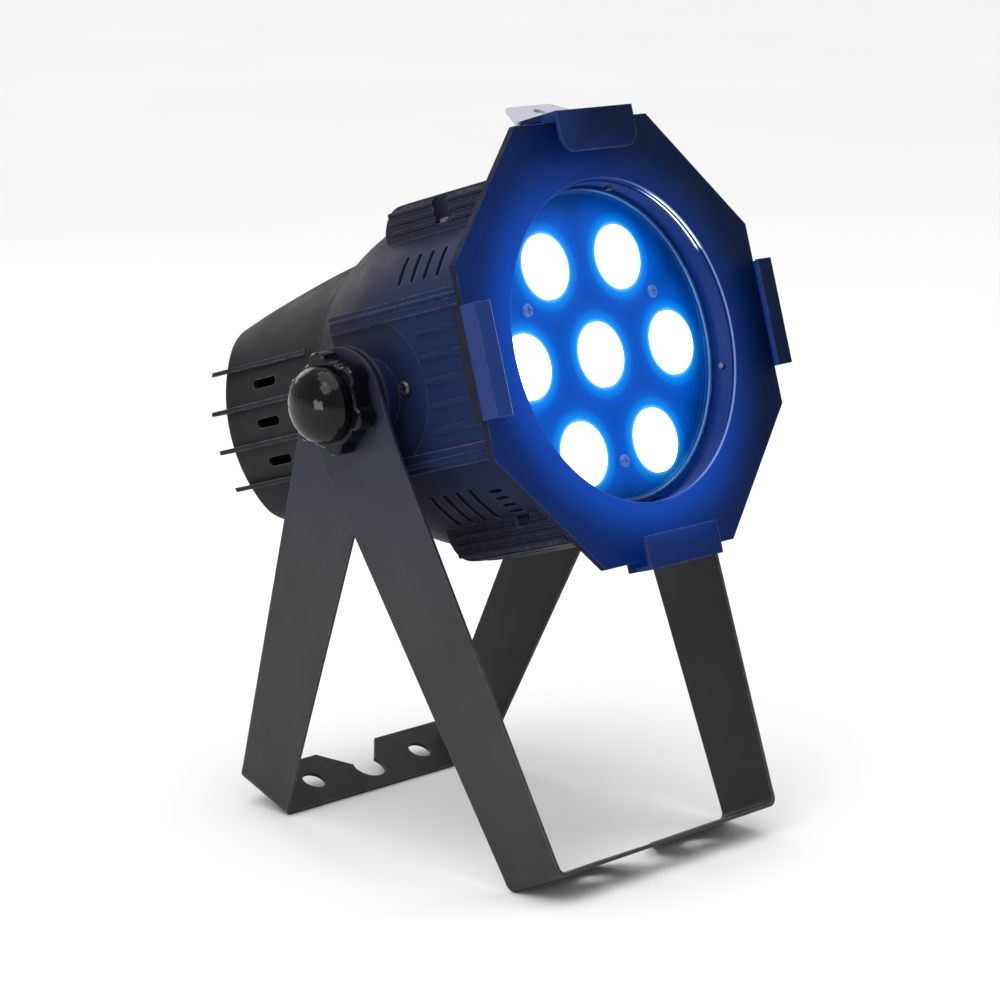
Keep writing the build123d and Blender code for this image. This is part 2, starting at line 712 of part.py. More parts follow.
def fan_frame():
    """Square fan frame with its struts, motor cup and shaft."""
    front = SINK_REAR_Y
    rear = front + FAN_DEPTH
    half = FAN_SIZE / 2
    frame = block(-half, half, front, rear, -half, half)
    frame = fillet(frame.edges().filter_by(Axis.Y), 5)
    frame -= rod("y", front - 1, rear + 1, FAN_BORE_R)
    for turn in (45, 135):
        strut = block(-FAN_BORE_R - 3, FAN_BORE_R + 3, rear - 3.5, rear, -2.5, 2.5)
        frame += around(strut, turn)
    frame += rod("y", rear - 3.5, rear, FAN_HUB_R)
    frame += rod("y", front + 3, rear - 3, FAN_SHAFT_R)
    for x, z in fan_bolts():
        frame -= rod("y", front - 1, rear + 1, 2.1, x, z)
    return frame


def fan_rotor():
    """Hub and blades that turn on the fan's shaft."""
    front = SINK_REAR_Y + 1.5
    rear = SINK_REAR_Y + FAN_DEPTH - 4.3
    hub = rod("y", front, rear, FAN_HUB_R)
    hub -= rod("y", front + 1.5, rear + 1, FAN_SHAFT_R + FAN_TURN_GAP)
    middle = (front + rear) / 2
    blades = None
    for index in range(FAN_BLADES):
        blade = Pos(30, middle, 0) * Rot(38, 0, 0) * Box(30, 1.6, 22)
        blade = around(blade, index * 360 / FAN_BLADES)
        blades = blade if blades is None else blades + blade
    limit = rod("y", front, rear, FAN_BLADE_R) - rod("y", front - 1, rear + 1, FAN_HUB_R - 1)
    return hub + (blades & limit)


def screw(length, radius, head_r, head, recess=True):
    """Pan-head screw along Y: head towards -Y from the origin, shank towards +Y."""
    body = rod("y", -head, 0, head_r) + rod("y", -0.1, length, radius)
    body = chamfer(body.edges().filter_by(GeomType.CIRCLE).group_by(Axis.Y)[0], head * 0.35)
    if recess:
        depth = head * 0.6
        bar = head_r * 1.2
        cross = block(-bar / 2, bar / 2, -head - 1, -head + depth, -0.45, 0.45)
        cross += block(-0.45, 0.45, -head - 1, -head + depth, -bar / 2, bar / 2)
        body -= cross
    return body


# ================================================================= head: electronics
def psu_board():
    """Power supply board, level, low in the rear housing."""
    board = block(-44, 44, 24, 82, BOARD_Z, BOARD_TOP)
    for x, y in standoff_places():
        board -= rod("z", -40, 0, 1.7, x, y)
    return board


def standoff_places():
    """Corners of the power supply board, as (x, y)."""
    return [(x, y) for x in (-40.0, 40.0) for y in (28.0, 78.0)]


def board_standoffs():
    """Four pillars between the board and the shell below."""
    pillars = []
    for x, y in standoff_places():
        pillar = rod("z", BOARD_Z - 6, BOARD_Z, 3.0, x, y)
        pillar += rod("z", BOARD_Z - 0.1, BOARD_Z + 3.2, 1.6, x, y)
        pillars.append(pillar)
    return group(pillars)


def psu_transformer():
    """Ferrite transformer with its bobbin."""
    core = block(-14, 14, 40, 62, BOARD_TOP, BOARD_Z + 23)
    winding = rod("z", BOARD_Z + 5, BOARD_Z + 20, 13.5, 0, 51)
    return core + winding


def psu_capacitors():
    """Three upright electrolytic capacitors."""
    cans = []
    for x, y, radius, height in ((-30, 40, 8, 24), (-30, 60, 6.3, 20), (26, 34, 5, 16)):
        can = rod("z", BOARD_TOP, BOARD_TOP + height, radius, x, y)
        cans.append(fillet(can.edges().group_by(Axis.Z)[-1], 0.8))
    return group(cans)


def psu_heat_sink():
    """Small bent heat sink with the switching transistor's fins."""
    sink = block(22, 42, 50, 52.5, BOARD_TOP, BOARD_Z + 24)
    for x in (24, 30, 36):
        sink += block(x, x + 1.5, 52, 60, BOARD_TOP, BOARD_Z + 24)
    return sink


def fuse():
    """Glass fuse lying in its two clips."""
    tube = rod("y", 64, 80, 2.4, 26, BOARD_Z + 6)
    caps = ring("y", 62, 67, 2.9, 2.4, 26, BOARD_Z + 6) + ring("y", 77, 81.5, 2.9, 2.4, 26, BOARD_Z + 6)
    legs = block(24.5, 27.5, 63, 66, BOARD_TOP, BOARD_Z + 3.6)
    legs += block(24.5, 27.5, 78, 81, BOARD_TOP, BOARD_Z + 3.6)
    return tube + caps + legs


def driver_board():
    """Control board, upright behind the display."""
    rear = PANEL_REAR_Y - PANEL_THICK - DRIVER_BEHIND
    return block(-35, 32, rear - BOARD_THICK, rear, 2, 37)


def display_module():
    """Four-digit display on the control board."""
    rear = PANEL_REAR_Y - PANEL_THICK - 0.6
    return block(-20, 20, rear - 8.4, rear, DISPLAY_Z - 7, DISPLAY_Z + 7)


def display_window():
    """Smoked window that closes the display cut-out, with a flange behind the panel."""
    rear = PANEL_REAR_Y
    width = DISPLAY_WIDTH / 2 - 0.15
    height = DISPLAY_HEIGHT / 2 - 0.15
    return block(-width, width, rear - PANEL_THICK, rear + 0.4, DISPLAY_Z - height, DISPLAY_Z + height)


def button_places():
    """Four menu buttons in a row, by x."""
    return [(index - 1.5) * BUTTON_PITCH for index in range(4)]


def tact_switch():
    """Switch under one button; its plunger is relaxed."""
    front = PANEL_REAR_Y - PANEL_THICK - DRIVER_BEHIND
    return block(-3, 3, front, front + 3.4, BUTTON_Z - 3, BUTTON_Z + 3)


def menu_button(x):
    """Round button with a flange behind the panel."""
    flange_rear = PANEL_REAR_Y - PANEL_THICK - 0.05
    cap = rod("y", flange_rear - 0.1, PANEL_REAR_Y + BUTTON_PROUD, BUTTON_R, x, BUTTON_Z)
    cap = fillet(cap.edges().group_by(Axis.Y)[-1], 0.8)
    cap += rod("y", flange_rear - 1.2, flange_rear, BUTTON_FLANGE_R, x, BUTTON_Z)
    cap += rod("y", flange_rear - 4.2, flange_rear - 1.1, 2.0, x, BUTTON_Z)
    return cap


def dmx_shell(x, pins):
    """Panel connector for the control signal: flange, barrel, and cavity or face."""
    rear = PANEL_REAR_Y
    half = DMX_FLANGE / 2
    flange = block(x - half, x + half, rear, rear + 1.8, SOCKET_Z - half - 1, SOCKET_Z + half + 1)
    flange = fillet(flange.edges().filter_by(Axis.Y), 2.5)
    body = flange + rod("y", rear - DMX_DEPTH, rear + 0.5, DMX_R, x, SOCKET_Z)
    if pins:
        return body - rod("y", rear - DMX_DEPTH - 1, rear + 3, DMX_BORE_R, x, SOCKET_Z)
    body -= ring("y", rear - 10, rear + 3, DMX_BORE_R, 7.0, x, SOCKET_Z)
    for px, pz in dmx_pin_places(x):
        body -= rod("y", rear - 12, rear + 3, DMX_PIN_R + 0.3, px, pz)
    return body


def dmx_pin_places(x):
    """Three pins on a small circle, as (x, z)."""
    places = []
    for turn in (30, 150, 270):
        places.append((x + 4.2 * cos(radians(turn)), SOCKET_Z + 4.2 * sin(radians(turn))))
    return places


def dmx_pins():
    """Pins of the signal input."""
    rear = PANEL_REAR_Y
    return group([rod("y", rear - 18, rear - 6, DMX_PIN_R, x, z) for x, z in dmx_pin_places(DMX_IN_X)])


def dmx_insert():
    """Insulator at the bottom of the signal input, which carries its pins."""
    rear = PANEL_REAR_Y - DMX_DEPTH
    disc = rod("y", rear, rear + DMX_INSERT, DMX_BORE_R, DMX_IN_X, SOCKET_Z)
    return disc - dmx_pins()


def power_inlet():
    """Mains inlet: flange, body and the shaped cavity for the plug."""
    rear = PANEL_REAR_Y
    half_w = INLET_WIDTH / 2
    half_h = INLET_HEIGHT / 2
    flange = block(INLET_X - half_w, INLET_X + half_w, rear, rear + 2.2, SOCKET_Z - half_h, SOCKET_Z + half_h)
    flange = fillet(flange.edges().filter_by(Axis.Y), 2.0)
    body = flange + block(INLET_X - 13.5, INLET_X + 13.5, rear - 21, rear + 0.5, SOCKET_Z - 10, SOCKET_Z + 10)
    outline = [(-12, -8), (12, -8), (12, 3), (7, 8), (-7, 8), (-12, 3)]
    hole = make_face(Polyline(*outline, close=True))
    cavity = prism_y(Pos(INLET_X, SOCKET_Z) * hole, rear - 18, rear + 4)
    return body - cavity - inlet_pins()


def inlet_pins():
    """Three flat pins in the inlet."""
    rear = PANEL_REAR_Y
    pins = []
    for x, z in ((-7, -2), (7, -2), (0, 2)):
        px = INLET_X + x
        pz = SOCKET_Z + z
        pins.append(block(px - 1, px + 1, rear - 20, rear - 8.5, pz - 2, pz + 2))
    return group(pins)


def safety_eye():
    """Steel loop for the safety cable, with its two nuts behind the panel."""
    wire = 2.0
    rear = PANEL_REAR_Y
    legs = [rod("y", rear - 7, rear + 10, wire, EYE_X, EYE_Z + dz) for dz in (-8, 8)]
    arc = Pos(EYE_X, rear + 10, EYE_Z) * Rot(0, 90, 0) * Torus(8, wire)
    arc &= block(EYE_X - 5, EYE_X + 5, rear + 10, rear + 30, EYE_Z - 15, EYE_Z + 15)
    return legs[0] + legs[1] + arc


def eye_nuts():
    """Nuts that hold the safety loop."""
    front = PANEL_REAR_Y - PANEL_THICK
    nuts = []
    for dz in (-8, 8):
        hexagon = RegularPolygon(4.0, 6)
        nut = prism_y(Pos(EYE_X, EYE_Z + dz) * hexagon, front - 3.2, front)
        nuts.append(nut - rod("y", front - 5, front + 1, 2.0, EYE_X, EYE_Z + dz))
    return group(nuts)


# ================================================================= top clip
def clip_pin_place():
    """Hinge pin of the top clip, as (y, z), in the head's level frame."""
    top = FRAME_LIFT + FRAME_ACROSS / 2 + TOP_CLIP_GAP
    return FRAME_FRONT_Y + FRAME_THICK + CLIP_PIN_BACK, top - CLIP_KNUCKLE_R


def top_clip():
    """Sprung clip: lip over the frame, plate, finger tab and two knuckles on the pin."""
    under = FRAME_LIFT + FRAME_ACROSS / 2 + TOP_CLIP_GAP
    over = under + CLIP_SHEET
    front = FRAME_FRONT_Y - CLIP_DEPTH - CLIP_SHEET
    half = TOP_CLIP_WIDTH / 2
    bottom = over - TOP_CLIP_LIP
    lip = Pos(0, (over + bottom) / 2) * Rectangle(TOP_CLIP_WIDTH, TOP_CLIP_LIP)
    lip = fillet(lip.vertices().group_by(Axis.Y)[0], TOP_CLIP_CORNER_R)
    clip = prism_y(lip, front, front + CLIP_SHEET)
    clip += block(-half, half, front, front + TOP_CLIP_RUN, under, over)
    tab = make_face(
        Polyline(
            (-half, 0),
            (half, 0),
            (TAB_END_WIDTH / 2, TAB_LENGTH),
            (-TAB_END_WIDTH / 2, TAB_LENGTH),
            close=True,
        )
    )
    tab = fillet(tab.vertices().group_by(Axis.Y)[-1], 4.0)
    tab -= Pos(0, TAB_LENGTH * 0.55) * Circle(TAB_HOLE_R)
    tab = extrude(tab, amount=CLIP_SHEET)
    clip += Pos(0, front + TOP_CLIP_RUN - 0.3, under) * Rot(TAB_RISE, 0, 0) * tab
    pin_y, pin_z = clip_pin_place()
    for x in (-half + 4.4, half - 8.4):
        knuckle = rod("x", x, x + 4, CLIP_KNUCKLE_R, pin_y, pin_z)
        knuckle += block(x, x + 4, pin_y - CLIP_KNUCKLE_R, pin_y + CLIP_KNUCKLE_R, pin_z, under + 0.2)
        clip += knuckle - rod("x", x - 1, x + 5, CLIP_PIN_R + 0.05, pin_y, pin_z)
    return clip


def clip_pin():
    """Pin through the ears and knuckles."""
    pin_y, pin_z = clip_pin_place()
    half = TOP_CLIP_WIDTH / 2 - 1.0
    return rod("x", -half, half, CLIP_PIN_R, pin_y, pin_z)


def clip_spring():
    """Torsion spring: close-wound coil round the pin."""
    pin_y, pin_z = clip_pin_place()
    coils = []
    wire = 0.5
    for index in range(10):
        x = -5 + index * 2 * wire
        coils.append(Pos(x, pin_y, pin_z) * Rot(0, 90, 0) * Torus(CLIP_PIN_R + wire + 0.1, wire * 1.06))
    spring = coils[0]
    for coil in coils[1:]:
        spring += coil
    return spring


# ================================================================= pivot hardware, +X side
def bracket_faces():
    """Stations along X from the barrel's boss outwards."""
    inner = REAR_HALF_TOP - BRACKET_SHEET
    outer = FRONT_HALF_TOP - BRACKET_SHEET
    return BOSS_X, inner, REAR_HALF_TOP, outer, FRONT_HALF_TOP


def pivot_spacer():
    """Sleeve between the boss and the rear bracket's arm."""
    boss, inner, _, _, _ = bracket_faces()
    return ring("x", boss, inner, SPACER_R, STUD_R + STUD_FIT)


def friction_washer():
    """Fibre washer between the two brackets' arms."""
    _, _, inner_out, outer_in, _ = bracket_faces()
    return ring("x", inner_out, outer_in, SPACER_R, STUD_R + STUD_FIT)


def pivot_nut_plate():
    """Plate inside the barrel with the nut for the knob's stud."""
    x = BOSS_INNER_X
    plate = block(x - NUT_PLATE_THICK, x, -NUT_PLATE_LENGTH / 2, NUT_PLATE_LENGTH / 2,
                  -NUT_PLATE_HEIGHT / 2, NUT_PLATE_HEIGHT / 2)
    hexagon = RegularPolygon(NUT_FLATS / 2, 6, major_radius=False)
    plate += prism_x(hexagon, x - NUT_PLATE_THICK - NUT_DEPTH, x - NUT_PLATE_THICK + 0.1)
    plate -= rod("x", 40, 80, STUD_R + STUD_FIT)
    for y in (-SIDE_SCREW_Y, SIDE_SCREW_Y):
        plate -= rod("x", 40, 80, 1.5, y)
    return plate


def side_screws():
    """Two screws a side that hold the nut plates."""
    screws = []
    one = Pos(PAD_X, 0, 0) * Rot(0, 0, 90) * screw(PAD_X - BOSS_INNER_X + 4, 1.45, 3.1, 2.2)
    for y in (-SIDE_SCREW_Y, SIDE_SCREW_Y):
        screws.append(Pos(0, y, 0) * one)
        screws.append(mirrored(Pos(0, y, 0) * one))
    return group(screws)


def knob_washer():
    """Steel washer under the knob."""
    outer = FRONT_HALF_TOP
    return ring("x", outer, outer + WASHER_THICK, WASHER_R, STUD_R + STUD_FIT)


def knob_stud():
    """Threaded stud with the collar moulded into the knob."""
    base = FRONT_HALF_TOP + WASHER_THICK
    stud = rod("x", STUD_INNER_X, base + KNOB_FLANGE - 1, STUD_R)
    return stud + rod("x", base + 3, base + KNOB_FLANGE - 1, STUD_R + 2.0)


def knob_grip():
    """Six-lobed hand grip."""
    base = FRONT_HALF_TOP + WASHER_THICK
    lobes = Circle(KNOB_LOBE_R - 3.4)
    for index in range(KNOB_LOBES):
        turn = radians(60 * index)
        reach = KNOB_LOBE_R - 5.2
        lobes += Pos(reach * sin(turn), reach * cos(turn)) * Circle(5.2)
    for index in range(KNOB_LOBES):
        turn = radians(60 * index + 30)
        reach = KNOB_LOBE_R + 3.6
        lobes -= Pos(reach * sin(turn), reach * cos(turn)) * Circle(7.2)
    grip = prism_x(lobes, base, base + KNOB_FLANGE)
    grip = chamfer(grip.edges().group_by(Axis.X)[-1], 0.8)
    return grip - knob_stud()


def knob_cap():
    """Smooth domed cap on the grip."""
    base = FRONT_HALF_TOP + WASHER_THICK + KNOB_FLANGE
    profile = [(0, 0), (0, KNOB_CAP_R - 0.6), (0.6, KNOB_CAP_R), (KNOB_CAP_WALL, KNOB_CAP_R)]
    steps = 12
    for step in range(1, steps + 1):
        turn = radians(90 * step / steps)
        profile.append((KNOB_CAP_WALL + KNOB_DOME * sin(turn), KNOB_CAP_R * cos(turn)))
    cap = lathe(profile)
    return Pos(base, 0, 0) * Rot(0, 0, -90) * cap


# ================================================================= brackets
def bracket(reach, half_top, half_base):
    """U-shaped strip hanging straight down from the pivot."""
    crown = ARM_TOP_WIDTH / 2
    path = [
        (half_top, crown + 1),
        (half_top, -ARM_STRAIGHT),
        (half_base, -reach),
        (-half_base, -reach),
        (-half_top, -ARM_STRAIGHT),
        (-half_top, crown + 1),
    ]
    lean = (half_top - half_base) / (reach - ARM_STRAIGHT)
    slant = hypot(1, lean)
    shift = BRACKET_SHEET
    inner = [
        (half_top - shift, crown + 2),
        (half_top - shift, -ARM_STRAIGHT - shift * lean / 2),
        (half_base - shift * slant + shift * lean, -reach + shift),
        (-half_base + shift * slant - shift * lean, -reach + shift),
        (-half_top + shift, -ARM_STRAIGHT - shift * lean / 2),
        (-half_top + shift, crown + 2),
    ]
    outer_face = make_face(Polyline(*path, close=True))
    inner_face = make_face(Polyline(*inner, close=True))
    outer_corners = [v for v in outer_face.vertices() if abs(v.Y + reach) < 0.01]
    inner_corners = [v for v in inner_face.vertices() if abs(v.Y + reach - shift) < 0.01]
    outer_face = fillet(outer_corners, BEND_R)
    inner_face = fillet(inner_corners, BEND_R - shift)
    strip = prism_y(outer_face - inner_face, -crown - 1, crown + 1)
    half_foot = ARM_BASE_WIDTH / 2
    side = make_face(
        Polyline(
            (-crown, 0),
            (-half_foot, -reach + 8),
            (-half_foot, -reach - 2),
            (half_foot, -reach - 2),
            (half_foot, -reach + 8),
            (crown, 0),
            close=True,
        )
    )
    side += Circle(crown)
    strip &= prism_x(side, -half_top - 2, half_top + 2)
    strip -= rod("x", -120, 120, PIVOT_HOLE_R)
    for x in (-BRACKET_HOLE_X, BRACKET_HOLE_X):
        strip -= rod("z", -reach - 5, -reach + 8, BRACKET_HOLE_R, x, 0)
    return strip - hook_notch(reach)


def hook_notch(reach):
    """Keyhole notch in the base strip, flaring to the edge on the +Y side."""
    edge = ARM_BASE_WIDTH / 2
    flare = [
        (-NOTCH_NECK, 0),
        (NOTCH_NECK, 0),
        (NOTCH_NECK, 2.5),
        (NOTCH_MOUTH, edge - 5),
        (NOTCH_MOUTH + 5, edge + 0.5),
        (NOTCH_MOUTH + 5, edge + 3),
        (-NOTCH_MOUTH - 5, edge + 3),
        (-NOTCH_MOUTH - 5, edge + 0.5),
        (-NOTCH_MOUTH, edge - 5),
        (-NOTCH_NECK, 2.5),
    ]
    face = make_face(Polyline(*flare, close=True))
    face += Pos(0, -1.0) * Circle(NOTCH_R)
    return Pos(0, 0, -reach - 5) * extrude(face, amount=14)


# ================================================================= assembly
def in_head(shape):
    """Tilt a head piece and lift it to the pivot axis."""
    return Pos(0, HINGE_Y, HINGE_Z) * Rot(-TILT, 0, 0) * shape


def swung(shape, angle):
    """Swing a bracket about the pivot axis and lift it into place."""
    return Pos(0, HINGE_Y, HINGE_Z) * Rot(angle, 0, 0) * shape


def head_parts():
    """Every piece of the head, by node name, in the level frame."""
    rear_screw = Rot(0, 0, 180) * screw(9, 1.2, 3.0, 2.0)
    fan_screw = Rot(0, 0, 180) * screw(FAN_DEPTH + 10, 1.65, 3.4, 2.2)
    plate_screw = screw(8, 1.5, 3.0, 1.6)
    nodes = {
        "barrel_housing": barrel_housing(),
        "rear_housing": rear_housing(),
        "rear_panel": rear_panel(),
        "frame_holder": frame_holder(),
        "channel_clips": channel_clips(),
        "colour_frame": colour_frame(),
        "light_shroud": light_shroud(),
        "lens_plate": lens_plate(),
        "lens_optics": seven(lens_optic()),
        "lens_holders": seven(lens_holder()),
        "led_emitters": seven(led_emitter()),
        "led_board": rod("y", LED_BOARD_FRONT_Y, LED_BOARD_FRONT_Y + LED_BOARD_THICK, LED_BOARD_R),
        "heat_sink": heat_sink(),
        "fan_frame": fan_frame(),
        "fan_rotor": fan_rotor(),
        "fan_screws": group(
            [Pos(x, SINK_REAR_Y + FAN_DEPTH, z) * fan_screw for x, z in fan_bolts()]
        ),
        "psu_board": psu_board(),
        "board_standoffs": board_standoffs(),
        "psu_transformer": psu_transformer(),
        "psu_capacitors": psu_capacitors(),
        "psu_heat_sink": psu_heat_sink(),
        "fuse": fuse(),
        "driver_board": driver_board(),
        "display_module": display_module(),
        "display_window": display_window(),
        "tact_switches": group([Pos(x, 0, 0) * tact_switch() for x in button_places()]),
        "power_inlet": power_inlet(),
        "inlet_pins": inlet_pins(),
        "dmx_input": dmx_shell(DMX_IN_X, True),
        "dmx_input_insert": dmx_insert(),
        "dmx_input_pins": dmx_pins(),
        "dmx_output": dmx_shell(DMX_OUT_X, False),
        "safety_eye": safety_eye(),
        "eye_nuts": eye_nuts(),
        "pivot_nut_plates": both_sides(pivot_nut_plate()),
        "pivot_spacers": both_sides(pivot_spacer()),
        "friction_washers": both_sides(friction_washer()),
        "side_screws": side_screws(),
        "pocket_screws": pocket_screws(),
        "holder_screws": holder_screws(),
        "lens_plate_screws": group(
            [Pos(x, LENS_PLATE_FRONT_Y, z) * plate_screw for x, z in plate_screw_places()]
        ),
        "rear_panel_screws": group(
            [Pos(x, PANEL_REAR_Y, z) * rear_screw for x, z in rear_screw_places()]
        ),
        "clip_pin": clip_pin(),
        "clip_spring": clip_spring(),
        "top_clip": top_clip(),
    }
    for name, x in zip(("mode", "up", "down", "enter"), button_places()):
        nodes["button_" + name] = menu_button(x)
    return nodes


def pivot_parts():
    """Knobs and their washers, right side drawn and left side mirrored."""
    right = {
        "knob_washer": knob_washer(),
        "knob_stud": knob_stud(),
        "knob_grip": knob_grip(),
        "knob_cap": knob_cap(),
    }
    nodes = {}
    for name, shape in right.items():
        nodes[name + "_right"] = shape
        nodes[name + "_left"] = mirrored(shape)
    return nodes


def assemble():
    """All nodes in the light's own frame."""
    nodes = {name: in_head(shape) for name, shape in {**head_parts(), **pivot_parts()}.items()}
    front = bracket(FRONT_REACH, FRONT_HALF_TOP, FRONT_HALF_BASE)
    rear = bracket(REAR_REACH, REAR_HALF_TOP, REAR_HALF_BASE)
    nodes["front_bracket"] = swung(front, -FRONT_SWING)
    nodes["rear_bracket"] = swung(rear, REAR_SWING)
    return nodes


os.makedirs("parts", exist_ok=True)
for node_name, node_shape in assemble().items():
    export_step(node_shape, f"parts/{node_name}.step")
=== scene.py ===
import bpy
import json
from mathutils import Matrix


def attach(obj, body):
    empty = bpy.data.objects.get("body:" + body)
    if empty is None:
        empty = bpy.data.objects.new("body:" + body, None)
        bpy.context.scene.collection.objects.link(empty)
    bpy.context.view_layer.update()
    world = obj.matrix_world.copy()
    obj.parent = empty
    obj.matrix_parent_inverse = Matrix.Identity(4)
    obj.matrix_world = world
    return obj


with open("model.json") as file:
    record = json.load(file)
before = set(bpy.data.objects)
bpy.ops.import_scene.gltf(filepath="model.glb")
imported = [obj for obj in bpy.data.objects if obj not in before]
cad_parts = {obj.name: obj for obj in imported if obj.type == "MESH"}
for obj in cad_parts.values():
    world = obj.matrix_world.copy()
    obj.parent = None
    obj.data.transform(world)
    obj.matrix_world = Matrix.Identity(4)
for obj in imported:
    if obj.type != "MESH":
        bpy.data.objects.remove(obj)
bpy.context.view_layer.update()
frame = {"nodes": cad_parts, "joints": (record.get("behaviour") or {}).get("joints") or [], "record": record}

import json
from math import cos, pi, radians, sin

import bmesh
import bpy
from mathutils import Matrix, Vector

# Metres and degrees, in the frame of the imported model. The head's own frame has the pivot axis as
# its X axis, the beam along -Y and the top along +Z; HEAD carries it into the model's frame.
MM = 0.001
FULL_TURN = 2 * pi
JOINTS = {joint["name"]: joint for joint in frame["joints"]}
PIVOT = Vector(JOINTS["head_tilt"]["pos_m"])
BEAM = Vector(JOINTS["fan_spin"]["axis"])
HEAD_X = Vector((1, 0, 0))
HEAD_Y = -BEAM.normalized()
HEAD_Z = HEAD_X.cross(HEAD_Y)
HEAD = Matrix.Translation(PIVOT) @ Matrix((HEAD_X, HEAD_Y, HEAD_Z)).transposed().to_4x4()

OPTICS_LIFT = 1.5 * MM  # the beam's axis above the pivot
LENS_LIFT = -2.2 * MM
LENS_RING = 47.2 * MM
LENS_R = 14.2 * MM
OUTER_LENSES = 6

# Where the light falls off along the beam and across it, in the head's frame.
LENS_FRONT_Y = -65.5 * MM
LENS_BACK_Y = -63.0 * MM
BORE_START_Y = -60.0 * MM
BORE_FULL_Y = -64.0 * MM
HOLDER_START_Y = -70.0 * MM
HOLDER_FULL_Y = -74.5 * MM
RIM_FRONT_Y = -79.7 * MM
FRAME_FRONT_Y = -82.3 * MM
CLIP_FRONT_Y = -83.2 * MM
TAB_FRONT_Y = -70.5 * MM
TAB_BACK_Y = -67.0 * MM
TAB_LOW_Z = 94.0 * MM
TAB_HIGH_Z = 96.0 * MM
OPENING_R = 69.0 * MM
HAZE_R = 96.0 * MM

# Emission strengths of the light that the beam leaves on its surroundings.
BORE_GLOW = 0.16
HAZE_GLOW = 0.34
HAZE_LEFT = 0.085
HAZE_FLOOR = 0.022
CLIP_GLOW = 0.15
CLIP_EDGE_GLOW = 0.65
CRESCENT_GLOW = 1.8
RIM_GLOW = 0.35
LENS_GLOW = 3.6
LENS_SIDE_GLOW = 0.4
EMITTER_GLOW = 6.0
SCREW_GLOW = 0.55
DIGIT_GLOW = 2.5

BEAM_BLUE = (0.005, 0.13, 0.95)
WHITE = (1.0, 1.0, 1.0)

# ---------------------------------------------------------------- camera
CAMERA_AZIMUTH = -47.55
CAMERA_ELEVATION = 12.44
CAMERA_ROLL = 1.06
CAMERA_LENS = 119.54
CAMERA_SENSOR = 36
CAMERA_FROM_PIVOT = Vector((-1.071, -0.9862, 0.2643))


def make_camera():
    """Camera at the viewing angle of the reference view."""
    azimuth, elevation, roll = (
        radians(angle) for angle in (CAMERA_AZIMUTH, CAMERA_ELEVATION, CAMERA_ROLL)
    )
    back = Vector(
        (sin(azimuth) * cos(elevation), -cos(azimuth) * cos(elevation), sin(elevation))
    )
    level = (-back).cross(Vector((0, 0, 1))).normalized()
    upright = level.cross(-back)
    right = cos(roll) * level + sin(roll) * upright
    up = -sin(roll) * level + cos(roll) * upright
    data = bpy.data.cameras.new("camera")
    data.lens = CAMERA_LENS
    data.sensor_width = CAMERA_SENSOR
    camera = bpy.data.objects.new("camera", data)
    turn = Matrix((right, up, back)).transposed().to_4x4()
    camera.matrix_world = Matrix.Translation(PIVOT + CAMERA_FROM_PIVOT) @ turn
    bpy.context.scene.collection.objects.link(camera)
    bpy.context.scene.camera = camera
    bpy.context.scene.view_settings.view_transform = "Standard"


# ---------------------------------------------------------------- node helpers
BEVEL_SAMPLES = 4
MIX_A, MIX_B, MIX_RESULT = 6, 7, 2  # the colour sockets of a Mix node


